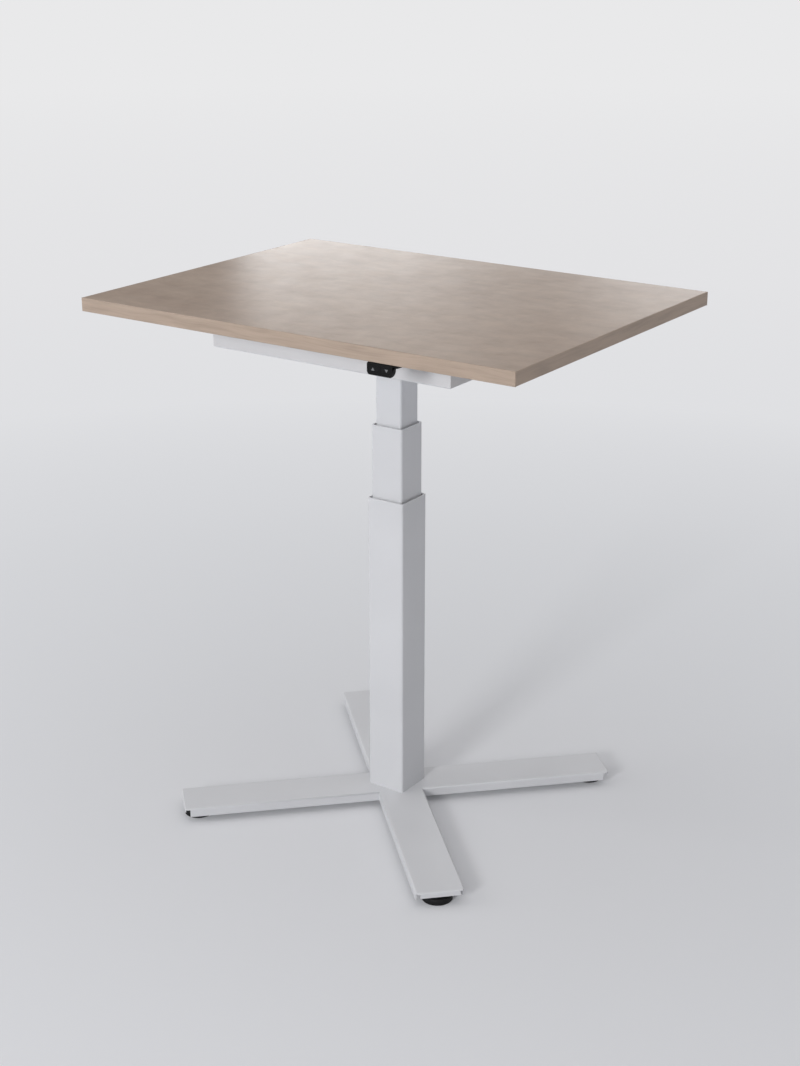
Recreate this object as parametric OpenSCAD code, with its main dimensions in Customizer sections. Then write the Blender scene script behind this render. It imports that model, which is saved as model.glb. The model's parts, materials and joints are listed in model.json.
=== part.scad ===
// Electric sit-stand desk on a single three-stage column with a cross base.
// Origin on the floor under the column axis: +X to the right, +Y to the back, +Z up.

/* [Desktop] */
// Length of the desktop, left to right
desk_length = 800; // [760:10:900]
// Depth of the desktop, front to back
desk_depth = 600; // [580:10:700]
// Thickness of the board
desk_thick = 22; // [18:1:30]
// Height of the desktop's upper face above the floor, half raised
desk_top = 895; // [890:1:900]
// Thickness of the edge bands
band_thick = 2; // [1:0.5:2]
// Rounding of the edge bands' outer edges
band_round = 1.5; // [0.5:0.1:1.9]

/* [Column] */
// Outside width of the lowest, largest tube
outer_width = 70; // [70:1:72]
// Outside width of the middle tube
middle_width = 60; // [60:1:60]
// Outside width of the upper, smallest tube
inner_width = 50; // [50:1:50]
// Wall of all three tubes
tube_wall = 2; // [2:0.5:2]
// Outside corner radius of the tubes
tube_round = 3.5; // [2.5:0.5:5]
// Upper end of the lowest tube
outer_top = 557; // [550:1:560]
// Upper end of the middle tube, half raised
middle_top = 682; // [675:1:690]

/* [Base] */
// Distance from the column axis to a leg's tip
leg_reach = 375.5; // [360:0.5:400]
// Width of a leg
leg_width = 78; // [76:1:90]
// Height of a leg's upper face above the floor
leg_top = 27; // [26:0.5:30]
// Height of the folded edges' lower rim above the floor
leg_rim = 11.5; // [10:0.5:12]
// Sheet thickness of the legs
leg_sheet = 2.5; // [2:0.5:3]
// Radius of the folds along the legs
leg_fold = 3; // [2:0.5:4]
// Corner radius at a leg's tip, seen from above
leg_corner = 7; // [4:1:10]
// Distance from the column axis to a foot's centre
foot_reach = 348.5; // [330:0.5:350]
// Diameter of a levelling foot
foot_diameter = 50; // [40:1:56]

/* [Tray] */
// Length of the sheet-steel tray under the desktop
tray_length = 450; // [440:1:460]
// Depth of the tray, front to back
tray_depth = 377; // [370:1:390]
// Height of the tray
tray_height = 56; // [55:0.5:57]
// Sheet thickness of the tray
tray_sheet = 1.5; // [1:0.5:1.5]
// Radius of the tray's lower folds
tray_fold = 2.5; // [2:0.5:4]

/* [Hand switch] */
// Place of the switch's middle along the front edge
switch_x = 176.25; // [120:0.25:200]
// Width of the switch
switch_width = 44; // [43:0.5:50]
// Height of the switch below the desktop
switch_height = 19.4; // [19:0.1:20]
// Travel of a key
key_travel = 1.2; // [0.8:0.1:1.5]

/* [Hidden] */

$fn = 48;
eps = 0.01;              // overshoot of a cut past the face it opens
play = 0.05;             // radial running clearance of a shaft in its bore
clear = 0.1;             // clearance between a glide pad and the tube that slides on it

powder = "#d9dadc";
wood_face = "#a69585";
wood_edge = "#b5a590";
steel = "#9aa0a6";
black = "#1c1c1d";
white_plastic = "#e8e6e0";
aluminium = "#b9bcc0";
brass = "#b89b5e";
circuit_green = "#2f6b3f";

desk_under = desk_top - desk_thick;
tray_bottom = desk_under - tray_height;
tray_floor = tray_bottom + tray_sheet;
outer_bore = outer_width / 2 - tube_wall;      // half the clear width inside each tube
middle_bore = middle_width / 2 - tube_wall;

// heights inside the column at the half-raised position
foot_block_height = 12;
foot_block_top = leg_top + foot_block_height;
middle_bottom = 160;
inner_bottom = 295;
nut_tube_foot = 30;
nut_tube_top = 398;
carrier_foot = 164;
carrier_top = 524;
upper_nut_bottom = 540;
upper_nut_top = 572;
spindle_collar_bottom = 530;
lower_spindle_bottom = 158;
upper_spindle_bottom = 305;

nut_tube_r = 15;
carrier_r = 18;
carrier_wall = 2;
lower_spindle_r = 10;
lower_bore_r = 6.6;
upper_spindle_r = 6;
collar_r = 12;
head_r = 20.5;

glide_height = 56;
glide_face = 34;         // width of a glide pad
glide_inset = 5;         // distance of a pad from its tube's end

// gears: the worm has one start, and both tooth forms are cosine waves
wheel_teeth = 24;
gear_module = 1.5;
wheel_r = wheel_teeth * gear_module / 2;
worm_pitch = PI * gear_module;
worm_r = 8;
tooth_wave = 1.1;
gear_gap = 0.35;
worm_y = wheel_r + worm_r + gear_gap;
worm_turns = 6;
shaft_r = 4;

head_plate_size = 120;
head_plate_thick = 5;
head_plate_top = tray_floor + head_plate_thick;
worm_z = head_plate_top + 22;
wheel_height = 8;
bearing_r = 14;
bearing_height = 8;
gearbox_top = head_plate_top + 38;
lid_thick = 4;
gearbox_x = 33;          // half length of the gearbox along the worm
gearbox_front = 26;      // reach of the gearbox in front of the spindle
gearbox_back = worm_y + 17;
motor_r = 21;
motor_length = 76;
motor_wall = 1.8;

screw_spread = 22;       // place of the column screws, on the legs' centre lines
head_screw_spread = 50;

inlet_x = 140;
inlet_z = tray_floor + 15;
case_x = 70;
case_length = 140;
case_depth = 90;
case_height = 32;
case_wall = 2;
case_y = tray_depth / 2 - tray_sheet - case_depth - 1;      // clear of the tray's fold
case_screw_places = [for (x = [9, case_length - 9], y = [9, case_depth - 9]) [case_x + x, case_y + y]];
board_z = tray_floor + 6;
motor_plug_y = case_y + 30;
lead_r = 2.25;
lead_low = tray_floor + lead_r + 0.3;
lead_high = desk_under - lead_r - 0.3;
lead_hole_z = desk_under - 9;
wall_y = -tray_depth / 2;
tray_screw_places = [for (x = [-180, -60, 60, 150], s = [-1, 1]) [x, s * (tray_depth / 2 - 10)]];
clip_y = -235;
plug_z = tray_floor + 18;

cable_sides = 10;
corner_steps = 5;

foot_at = foot_reach / sqrt(2);
foot_places = [[1, -1], [1, 1], [-1, 1], [-1, -1]];   // front right, back right, back left, front left

key_width = 17.5;
key_height = 10;
key_gap = 3;
key_reach = 2.55;        // back of a key behind the switch's face
key_foot = 3.3;          // reach of the post behind a key
key_x = (key_width + key_gap) / 2;
key_z = desk_under - 9.8;
switch_face = -desk_depth / 2 + 0.6;
switch_wall = 1.6;
switch_depth = 36;
switch_step = 9.5;       // depth of the shell's deep part, behind the keys
shell_gap = 0.3;         // between the shell and the desktop
plate_thick = 4;
plate_front = 7;
plate_lip = 3;
screw_sink = 1.2;
board_front = 6.3;
board_thick = 1;
switch_screw_places = [for (s = [-1, 1]) [switch_x + 12 * s, switch_face + 22]];

// Rectangle with round corners, centred
module round_rect(w, d, r) {
    square([w - 2 * r, d], center = true);
    square([w, d - 2 * r], center = true);
    for (sx = [-1, 1], sy = [-1, 1])
        translate([sx * (w / 2 - r), sy * (d / 2 - r)]) circle(r);
}

// Square tube standing on z0
module square_tube(w, z0, z1) {
    translate([0, 0, z0]) linear_extrude(z1 - z0) difference() {
        round_rect(w, w, tube_round);
        round_rect(w - 2 * tube_wall, w - 2 * tube_wall, tube_round - tube_wall);
    }
}

// Round bar or hole along Z
module post(r, z0, z1) {
    translate([0, 0, z0]) cylinder(h = z1 - z0, r = r);
}

// Four flat pads, one on each side of the column, between two distances from its axis
module glide_set(near, far, z0) {
    for (a = [0:90:270]) rotate(a)
        translate([near, -glide_face / 2, z0]) cube([far - near, glide_face, glide_height]);
}

function unit(v) = v / norm(v);

// Points of a round corner between two straight runs
function corner(a, b, c, bend) =
    let (u = unit(b - a), v = unit(c - b), turn = acos(u * v),
        inward = unit(v - u * (u * v)), centre = b - u * bend * tan(turn / 2) + inward * bend)
    [for (i = [0:corner_steps]) let (w = turn * i / corner_steps)
        centre - inward * bend * cos(w) + u * bend * sin(w)];

// A cable's path through a list of points, with every corner rounded
function route(points, bend) = [
    points[0],
    for (i = [1:len(points) - 2]) each corner(points[i - 1], points[i], points[i + 1], bend),
    points[len(points) - 1]
];

function step_along(path, i) = i < 0 || i > len(path) - 2 ? [0, 0, 0] : unit(path[i + 1] - path[i]);
function heading(path, i) = unit(step_along(path, i - 1) + step_along(path, i));

// Turns a ring's first spoke square to the next heading
function carry(spoke, way) = unit(spoke - way * (spoke * way));

// Round tube along a path; the first heading isn't along Z
module cable(points, r, bend) {
    path = route(points, bend);
    count = len(path);
    ways = [for (i = [0:count - 1]) heading(path, i)];
    spokes = [for (i = 0, s = carry([0, 0, 1], ways[0]); i < count;
        i = i + 1, s = i < count ? carry(s, ways[i]) : s) s];
    n = cable_sides;
    rings = [for (i = [0:count - 1], k = [0:n - 1]) let (a = 360 * k / n)
        path[i] + r * (cos(a) * spokes[i] + sin(a) * cross(ways[i], spokes[i]))];
    sides = [for (i = [0:count - 2], k = [0:n - 1]) let (a = i * n + k, b = i * n + (k + 1) % n)
        each [[a, a + n, b], [b, a + n, b + n]]];
    far = (count - 1) * n;
    ends = [for (k = [1:n - 2]) each [[0, k, k + 1], [far, far + k + 1, far + k]]];
    polyhedron(rings, concat(sides, ends));
}

/* Base: four folded legs, mitred at the centre */

// Outline of a leg's cross section, with the folds along its upper edges
module leg_outline() {
    translate([-leg_width / 2, leg_rim]) square([leg_width, leg_top - leg_rim - leg_fold]);
    translate([-leg_width / 2 + leg_fold, leg_top - leg_fold - eps])
        square([leg_width - 2 * leg_fold, leg_fold + eps]);
    for (s = [-1, 1])
        translate([s * (leg_width / 2 - leg_fold), leg_top - leg_fold]) circle(leg_fold);
}

module leg_section() {
    difference() {
        leg_outline();
        translate([-leg_width / 2 + leg_sheet, leg_rim - eps])
            square([leg_width - 2 * leg_sheet, leg_top - leg_rim - leg_sheet + eps]);
    }
}

// One leg along +X, cut to its quarter of the cross
module leg() {
    flange_end = leg_reach - 9.5;
    end_flange = leg_width - 2 * leg_corner;
    end_rim = 17.5;
    color(powder) difference() {
        union() {
            intersection() {
                rotate([90, 0, 90]) linear_extrude(flange_end) leg_section();
                linear_extrude(leg_top + 1)
                    polygon([[0, 0], [leg_reach, -leg_reach], [leg_reach, leg_reach]]);
            }
            intersection() {
                translate([0, 0, leg_top - leg_sheet]) linear_extrude(leg_sheet) {
                    translate([flange_end - 1, -leg_width / 2])
                        square([leg_reach - flange_end - leg_corner + 1, leg_width]);
                    translate([flange_end - 1, -leg_width / 2 + leg_corner])
                        square([leg_reach - flange_end + 1, leg_width - 2 * leg_corner]);
                    for (s = [-1, 1]) translate([leg_reach - leg_corner, s * (leg_width / 2 - leg_corner)])
                        circle(leg_corner);
                }
                rotate([90, 0, 90]) linear_extrude(leg_reach) leg_outline();
            }
            translate([leg_reach - leg_sheet, -end_flange / 2, end_rim])
                cube([leg_sheet, end_flange, leg_top - end_rim - eps]);
        }
        // fold radius over the end flange
        translate([leg_reach - leg_fold, -leg_width, leg_top - leg_fold]) rotate([-90, 0, 0]) difference() {
            translate([0, -leg_fold - 1, 0]) cube([leg_fold + 1, leg_fold + 1, 2 * leg_width]);
            translate([0, 0, -1]) cylinder(h = 2 * leg_width + 2, r = leg_fold);
        }
        translate([screw_spread * sqrt(2), 0, 0]) cylinder(h = leg_top + 1, r = 4.5);
    }
}

module leg_front_right() { rotate(-45) leg(); }
module leg_back_right() { rotate(45) leg(); }
module leg_back_left() { rotate(135) leg(); }
module leg_front_left() { rotate(225) leg(); }

// Flat cross plate welded under the legs, which carries the column
module base_spreader() {
    arm = 150;
    thick = 5;
    color(powder) difference() {
        translate([0, 0, leg_top - leg_sheet - thick]) linear_extrude(thick)
            for (a = [45, 135]) rotate(a) square([2 * arm, leg_width - 2 * leg_sheet - 4], center = true);
        for (sx = [-1, 1], sy = [-1, 1])
            translate([sx * screw_spread, sy * screw_spread, 0]) cylinder(h = leg_top, r = 4.5);
    }
}

// Four socket-head screws from below into the column's foot block
module column_screws() {
    head_top = leg_top - leg_sheet - 5;
    color(steel) for (sx = [-1, 1], sy = [-1, 1])
        translate([sx * screw_spread, sy * screw_spread, 0]) difference() {
            union() {
                post(4, head_top - eps, leg_top + 9);
                post(6.5, head_top - 5, head_top);
            }
            translate([0, 0, head_top - 5 - eps]) cylinder(h = 3, r = 2.9, $fn = 6);
        }
}

module foot_nuts() {
    color(steel) for (p = foot_places)
        translate([p.x * foot_at, p.y * foot_at, 0]) difference() {
            post(7, 14, leg_top - leg_sheet);
            post(shaft_r + play, 13, leg_top);
        }
}

/* Levelling feet */

module foot_disc(p) {
    r = foot_diameter / 2;
    color(black) translate([p.x * foot_at, p.y * foot_at, 0]) difference() {
        rotate_extrude() polygon([
            [0, 0], [r - 1.5, 0], [r - 0.45, 0.45], [r, 1.5], [r, 8.2],
            [r - 0.6, 9.8], [r - 2, 10.9], [r - 4, 11.4], [9, 12.4], [9, 14], [0, 14]
        ]);
        post(shaft_r + 0.02, 6, 15);
    }
}

module foot_stem(p) {
    color(steel) translate([p.x * foot_at, p.y * foot_at, 0]) post(shaft_r, 6, leg_top - leg_sheet - 0.2);
}

module foot_disc_front_right() { foot_disc(foot_places[0]); }
module foot_disc_back_right() { foot_disc(foot_places[1]); }
module foot_disc_back_left() { foot_disc(foot_places[2]); }
module foot_disc_front_left() { foot_disc(foot_places[3]); }
module foot_stem_front_right() { foot_stem(foot_places[0]); }
module foot_stem_back_right() { foot_stem(foot_places[1]); }
module foot_stem_back_left() { foot_stem(foot_places[2]); }
module foot_stem_front_left() { foot_stem(foot_places[3]); }

/* Lowest stage, fixed to the base */

module outer_tube() { color(powder) square_tube(outer_width, leg_top, outer_top); }

// Steel block welded into the tube's lower end, threaded for the column screws
module column_foot() {
    color(steel) difference() {
        translate([0, 0, leg_top]) linear_extrude(foot_block_height)
            round_rect(2 * outer_bore, 2 * outer_bore, 2.5);
        for (sx = [-1, 1], sy = [-1, 1])
            translate([sx * screw_spread, sy * screw_spread, 0]) post(4 + play, leg_top - 1, leg_top + 10);
        post(nut_tube_r + play, nut_tube_foot, foot_block_top + 1);
    }
}

module outer_glides() {
    color(white_plastic)
        glide_set(middle_width / 2 + clear, outer_bore, outer_top - glide_inset - glide_height);
}

// Tube that stands on the foot block and holds the lower nut up inside the column
module nut_tube() {
    color(steel) difference() {
        post(nut_tube_r, nut_tube_foot, nut_tube_top);
        post(nut_tube_r - 2, nut_tube_foot - 1, nut_tube_top + 1);
    }
}

module lower_nut() {
    color(white_plastic) difference() {
        union() {
            post(nut_tube_r - 2 - play, nut_tube_top - 28, nut_tube_top + eps);
            post(nut_tube_r, nut_tube_top, nut_tube_top + 3);
        }
        post(lower_spindle_r + play, nut_tube_top - 29, nut_tube_top + 4);
    }
}

/* Middle stage */

module middle_tube() { color(powder) square_tube(middle_width, middle_bottom, middle_top); }

module middle_foot() {
    color(aluminium) difference() {
        translate([0, 0, middle_bottom]) linear_extrude(10)
            round_rect(2 * middle_bore, 2 * middle_bore, 2.5);
        post(nut_tube_r + 1, middle_bottom - 1, carrier_foot + eps);
        post(carrier_r + play, carrier_foot, middle_bottom + 11);
    }
}

module middle_low_glides() {
    color(white_plastic)
        glide_set(middle_width / 2, outer_bore - clear, middle_bottom + glide_inset);
}

module middle_top_glides() {
    color(white_plastic)
        glide_set(inner_width / 2 + clear, middle_bore, middle_top - glide_inset - glide_height);
}

// Tube from the middle stage's foot up to the upper nut
module carrier_tube() {
    color(aluminium) difference() {
        post(carrier_r, carrier_foot, carrier_top);
        post(carrier_r - carrier_wall, carrier_foot - 1, carrier_top + 1);
    }
}

// Block on the carrier tube: it holds the lower spindle's collar and the upper nut
module carrier_head() {
    color(aluminium) difference() {
        post(head_r, carrier_top - 8, upper_nut_top);
        post(carrier_r + play, carrier_top - 9, carrier_top);
        post(collar_r + 0.6, carrier_top - eps, upper_nut_bottom + eps);
        post(collar_r + 2, upper_nut_bottom, upper_nut_top + 1);
    }
}

module upper_nut() {
    color(white_plastic) difference() {
        union() {
            post(collar_r + 2 - play, upper_nut_bottom, upper_nut_top + eps);
            post(carrier_r, upper_nut_top, upper_nut_top + 3);
        }
        post(upper_spindle_r + play, upper_nut_bottom - 1, upper_nut_top + 4);
    }
}

// Washer in the carrier head, under the lower spindle's collar
module thrust_washer() {
    color(brass) difference() {
        post(collar_r + 0.55, carrier_top, spindle_collar_bottom);
        post(lower_spindle_r + play, carrier_top - 1, spindle_collar_bottom + 1);
    }
}

// Hollow spindle in the lower nut, turned by the upper spindle's key in its two keyways
module lower_spindle() {
    color(steel) difference() {
        union() {
            post(lower_spindle_r, lower_spindle_bottom, spindle_collar_bottom + 5);
            post(collar_r, spindle_collar_bottom, upper_nut_bottom - 0.2);
        }
        post(lower_bore_r, lower_spindle_bottom - 1, upper_nut_bottom);
        translate([-8, -1.3, lower_spindle_bottom - 1])
            cube([16, 2.6, upper_nut_bottom - lower_spindle_bottom + 1]);
    }
}

/* Upper stage */

module inner_tube() { color(powder) square_tube(inner_width, inner_bottom, tray_floor); }

module inner_glides() {
    color(white_plastic)
        glide_set(inner_width / 2, middle_bore - clear, inner_bottom + glide_inset);
}

// Steel plate in the tray, welded on the upper tube
module head_plate() {
    color(steel) difference() {
        translate([0, 0, tray_floor]) linear_extrude(head_plate_thick)
            round_rect(head_plate_size, head_plate_size, 6);
        post(upper_spindle_r + 2, tray_floor - 1, head_plate_top + 1);
        for (sx = [-1, 1], sy = [-1, 1])
            translate([sx * head_screw_spread, sy * head_screw_spread, 0])
                post(3.3, tray_floor - 1, head_plate_top + 1);
        gearbox_holes(2 + play, tray_floor - 1, head_plate_top + 1);
    }
}

// Screws in the tray: four clamp its floor to the head plate with nuts below, four hold the gearbox
// and four, from below, the control box
module tray_screws() {
    color(steel) {
        for (sx = [-1, 1], sy = [-1, 1])
            translate([sx * head_screw_spread, sy * head_screw_spread, 0]) {
                post(3, tray_bottom - 5, head_plate_top + eps);
                difference() {
                    post(5.2, head_plate_top, head_plate_top + 5);
                    translate([0, 0, head_plate_top + 2]) cylinder(h = 4, r = 2.9, $fn = 6);
                }
                translate([0, 0, tray_bottom - 4]) difference() {
                    cylinder(h = 4, r = 5.7, $fn = 6);
                    post(3 + play, -1, 5);
                }
            }
        for (p = case_screw_places) translate([p.x, p.y, 0]) {
            post(1.5, tray_bottom - eps, board_z - 0.5);
            post(3, tray_bottom - 1.8, tray_bottom);
        }
        gearbox_holes(2, tray_floor + 0.5, gearbox_top + lid_thick + eps);
        difference() {
            gearbox_holes(3.6, gearbox_top + lid_thick, gearbox_top + lid_thick + 3);
            gearbox_holes(1.5, gearbox_top + lid_thick + 1, gearbox_top + lid_thick + 4);
        }
    }
}

// Places of the four gearbox screws
module gearbox_holes(r, z0, z1) {
    for (sx = [-1, 1], y = [-gearbox_front + 5, gearbox_back - 5])
        translate([sx * (gearbox_x - 5), y, 0]) post(r, z0, z1);
}

// Cast housing with a pocket for the worm wheel and a bore for the worm
module gearbox_housing() {
    color(aluminium) difference() {
        translate([-gearbox_x, -gearbox_front, head_plate_top])
            cube([2 * gearbox_x, gearbox_front + gearbox_back, gearbox_top - head_plate_top]);
        post(upper_spindle_r + 1, head_plate_top - 1, gearbox_top);
        post(bearing_r + play, head_plate_top + 4, gearbox_top);
        post(wheel_r + tooth_wave + 1, worm_z - wheel_height / 2 - 1.5, gearbox_top + 1);
        // worm bore, open towards the motor and closed round the shaft's far end
        translate([0, worm_y, worm_z]) rotate([0, 90, 0]) {
            translate([0, 0, -gearbox_x - 1]) cylinder(h = 2 * gearbox_x - 5, r = worm_r + tooth_wave + 1);
            translate([0, 0, gearbox_x - 8]) cylinder(h = 9, r = shaft_r + play);
        }
        gearbox_holes(2 + play, head_plate_top - 1, gearbox_top + 1);
    }
}

module gearbox_lid() {
    color(aluminium) difference() {
        translate([-gearbox_x, -gearbox_front, gearbox_top])
            cube([2 * gearbox_x, gearbox_front + gearbox_back, lid_thick]);
        post(upper_spindle_r + play, gearbox_top - 1, gearbox_top + lid_thick + 1);
        gearbox_holes(2 + play, gearbox_top - 1, gearbox_top + lid_thick + 1);
    }
}

// Ball bearing that carries the upper spindle
module spindle_bearing() {
    z0 = head_plate_top + 4;
    mid = (upper_spindle_r + bearing_r) / 2;
    ring = 2.4;
    color(steel) {
        difference() {
            post(bearing_r, z0, z0 + bearing_height);
            post(bearing_r - ring, z0 - 1, z0 + bearing_height + 1);
        }
        difference() {
            post(upper_spindle_r + ring, z0, z0 + bearing_height);
            post(upper_spindle_r + 0.03, z0 - 1, z0 + bearing_height + 1);
        }
        for (a = [0:45:315]) rotate(a) translate([mid, 0, z0 + bearing_height / 2]) sphere(1.55);
    }
}

// Solid spindle hung in the gearbox, with the drive key at its lower end
module upper_spindle() {
    color(steel) {
        post(upper_spindle_r, upper_spindle_bottom, gearbox_top + lid_thick + 1);
        translate([-7.6, -1.1, upper_spindle_bottom]) cube([15.2, 2.2, 12]);
    }
}

module worm_wheel() {
    steps = wheel_teeth * 8;
    color(brass) difference() {
        translate([0, 0, worm_z - wheel_height / 2]) linear_extrude(wheel_height)
            polygon([for (i = [0:steps - 1])
                let (a = i * 360 / steps, r = wheel_r + tooth_wave * cos(wheel_teeth * a))
                [r * cos(a), r * sin(a)]]);
        post(upper_spindle_r + 0.02, worm_z - wheel_height, worm_z + wheel_height);
    }
}

// Motor shaft with the worm on it: an offset circle, twisted one turn for each pitch
module worm_shaft() {
    worm_length = worm_turns * worm_pitch;
    color(steel) translate([0, worm_y, worm_z]) rotate([0, 90, 0]) {
        translate([0, 0, -worm_length / 2])
            linear_extrude(worm_length, twist = -360 * worm_turns, slices = 10 * worm_turns, $fn = 16)
                translate([0, tooth_wave]) circle(worm_r);
        translate([0, 0, -gearbox_x - motor_length + 4])
            cylinder(h = 2 * gearbox_x + motor_length - 6, r = shaft_r);
    }
}

module motor_rotor() {
    color(steel) translate([0, worm_y, worm_z]) rotate([0, -90, 0]) difference() {
        translate([0, 0, gearbox_x + 20]) cylinder(h = 34, r = 11);
        translate([0, 0, gearbox_x]) cylinder(h = 60, r = shaft_r + 0.02);
    }
}

// Drawn steel can, closed by its front face on the gearbox
module motor_can() {
    color(steel) translate([0, worm_y, worm_z]) rotate([0, -90, 0]) difference() {
        translate([0, 0, gearbox_x]) cylinder(h = motor_length - 8, r = motor_r);
        translate([0, 0, gearbox_x + motor_wall]) cylinder(h = motor_length, r = motor_r - motor_wall);
        translate([0, 0, gearbox_x - 1]) cylinder(h = motor_length, r = shaft_r + play);
    }
}

module motor_endcap() {
    color(black) translate([0, worm_y, worm_z]) rotate([0, -90, 0]) difference() {
        union() {
            translate([0, 0, gearbox_x + motor_length - 8]) cylinder(h = 8, r = motor_r);
            translate([0, 0, gearbox_x + motor_length - 14]) cylinder(h = 7, r = motor_r - motor_wall - 0.1);
        }
        translate([0, 0, gearbox_x + motor_length - 15]) cylinder(h = 12, r = shaft_r + play);
    }
}

/* Tray and electrics */

// Open box outline with round lower folds, grown inwards by an inset
module tray_solid(inset) {
    r = tray_fold - inset;
    l = tray_length - 2 * inset;
    d = tray_depth - 2 * inset;
    z = tray_bottom + inset;
    intersection() {
        translate([0, d / 2, 0]) rotate([90, 0, 0]) linear_extrude(d) tray_side(l, z, r);
        translate([-l / 2, 0, 0]) rotate([90, 0, 90]) linear_extrude(l) tray_side(d, z, r);
    }
}

module tray_side(w, z, r) {
    translate([-w / 2, z + r]) square([w, desk_under - z - r]);
    translate([-w / 2 + r, z]) square([w - 2 * r, r + eps]);
    for (s = [-1, 1]) translate([s * (w / 2 - r), z + r]) circle(r);
}

module tray() {
    flange = 20;
    color(powder) difference() {
        union() {
            difference() {
                tray_solid(0);
                tray_solid(tray_sheet);
            }
            // flanges turned in under the desktop
            translate([0, 0, desk_under - tray_sheet]) linear_extrude(tray_sheet) difference() {
                square([tray_length - 1, tray_depth - 1], center = true);
                square([tray_length - 2 * flange, tray_depth - 2 * flange], center = true);
            }
        }
        translate([0, 0, tray_bottom - 1]) linear_extrude(4)
            square(inner_width + 0.6, center = true);
        for (sx = [-1, 1], sy = [-1, 1])
            translate([sx * head_screw_spread, sy * head_screw_spread, 0])
                post(3.3, tray_bottom - 1, tray_floor + 1);
        // screw holes in the flanges, with square holes below them for the screwdriver
        for (p = tray_screw_places) translate([p.x, p.y, 0]) {
            post(2.2, desk_under - 3, desk_under + 1);
            translate([-6, -6, tray_bottom - 1]) cube([12, 12, tray_sheet + 2]);
        }
        for (p = case_screw_places) translate([p.x, p.y, 0]) post(1.8, tray_bottom - 1, tray_floor + 1);
        translate([switch_x, wall_y - 1, lead_hole_z]) rotate([-90, 0, 0]) cylinder(h = 4, r = 4);
        translate([inlet_x - 14, tray_depth / 2 - 3, inlet_z - 10]) cube([28, 4, 20]);
    }
}

module tray_grommet() {
    color(black) translate([switch_x, wall_y, lead_hole_z]) rotate([-90, 0, 0]) difference() {
        union() {
            translate([0, 0, -1.5]) cylinder(h = 1.5, r = 5.5);
            translate([0, 0, -eps]) cylinder(h = tray_sheet + 2 * eps, r = 4 - 0.02);
            translate([0, 0, tray_sheet]) cylinder(h = 1.5, r = 5.5);
        }
        translate([0, 0, -2]) cylinder(h = 7, r = lead_r);
    }
}

// Wood screws of the tray and of the hand switch
module wood_screws() {
    color(steel) {
        for (p = tray_screw_places) translate([p.x, p.y, 0]) wood_screw(desk_under - tray_sheet);
        for (p = switch_screw_places)
            translate([p.x, p.y, 0]) wood_screw(desk_under - plate_thick + screw_sink);
    }
}

module wood_screw(seat) {
    post(2, seat - eps, desk_under + 12);
    difference() {
        post(3.8, seat - 2.6, seat);
        for (a = [0, 90]) rotate(a) translate([-2.2, -0.5, seat - 2.7]) cube([4.4, 1, 1.4]);
    }
}

module control_case() {
    color(black) difference() {
        translate([case_x, case_y, tray_floor]) cube([case_length, case_depth, case_height - 6]);
        translate([case_x + case_wall, case_y + case_wall, tray_floor + case_wall])
            cube([case_length - 2 * case_wall, case_depth - 2 * case_wall, case_height]);
        for (p = case_screw_places) translate([p.x, p.y, 0]) post(1.8, tray_floor - 1, tray_floor + 3);
        // openings for the motor plug, the hand switch's plug and the mains inlet
        translate([case_x - 1, motor_plug_y - 6, plug_z - 4]) cube([case_wall + 2, 12, 8]);
        translate([switch_x - 6, case_y - 1, plug_z - 4]) cube([12, case_wall + 2, 8]);
        translate([inlet_x - 14, case_y + case_depth - case_wall - 1, inlet_z - 10])
            cube([28, case_wall + 2, 20]);
    }
}

module control_lid() {
    z0 = tray_floor + case_height - 6;
    color(black) difference() {
        translate([case_x, case_y, z0]) cube([case_length, case_depth, 6]);
        translate([case_x + case_wall, case_y + case_wall, z0 - 1])
            cube([case_length - 2 * case_wall, case_depth - 2 * case_wall, 5]);
        for (i = [0:5]) translate([case_x + 40 + 12 * i, case_y + 22, z0 + 3]) cube([4, 46, 4]);
    }
}

// Circuit board on four threaded posts, with its transformer, capacitors and relays
module control_board() {
    color(circuit_green) {
        difference() {
            union() {
                translate([case_x + 5, case_y + 5, board_z]) cube([case_length - 10, case_depth - 10, 1.6]);
                for (p = case_screw_places)
                    translate([p.x, p.y, 0]) post(3, tray_floor + case_wall, board_z + eps);
            }
            translate([inlet_x - 16, case_y + case_depth - 32, board_z - 1]) cube([32, 40, 4]);
            for (p = case_screw_places) translate([p.x, p.y, 0]) post(1.5 + play, tray_floor, board_z);
        }
        translate([case_x + 46, case_y + 12, board_z + 1.5]) cube([30, 26, 15]);
        for (y = [40, 54, 68])
            translate([case_x + 26, case_y + y, 0]) post(5.5, board_z + 1.5, board_z + 18);
        for (y = [20, 44]) translate([case_x + 112, case_y + y, board_z + 1.5]) cube([14, 18, 12]);
    }
}

// Appliance inlet in the control box's back, reached through the tray's rear wall, with its three pins
module mains_inlet() {
    back = tray_depth / 2;
    color(black) difference() {
        union() {
            translate([inlet_x - 17, back, inlet_z - 12.5]) cube([34, 2, 25]);
            translate([inlet_x - 13.9, back - 26, inlet_z - 9.9]) cube([27.8, 26 + eps, 19.8]);
        }
        translate([inlet_x - 12, back - 15, inlet_z - 8]) cube([24, 18, 16]);
    }
    color(steel) for (i = [-1:1])
        translate([inlet_x + 7 * i - 2, back - 15.5, inlet_z - 1 + (i == 0 ? 4 : 0)]) cube([4, 10, 2]);
}

module motor_lead() {
    x0 = -gearbox_x - motor_length;
    z0 = worm_z - 9;
    color(black) {
        cable([[x0, worm_y, z0], [x0 - 20, worm_y, z0], [x0 - 20, worm_y + 20, lead_low],
            [x0 - 20, motor_plug_y, lead_low], [case_x - 38, motor_plug_y, lead_low],
            [case_x - 24, motor_plug_y, plug_z], [case_x - 8, motor_plug_y, plug_z]], lead_r, 8);
        translate([case_x - 10, motor_plug_y - 5.8, plug_z - 3.8]) cube([10 + case_wall, 11.6, 7.6]);
    }
}

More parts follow.
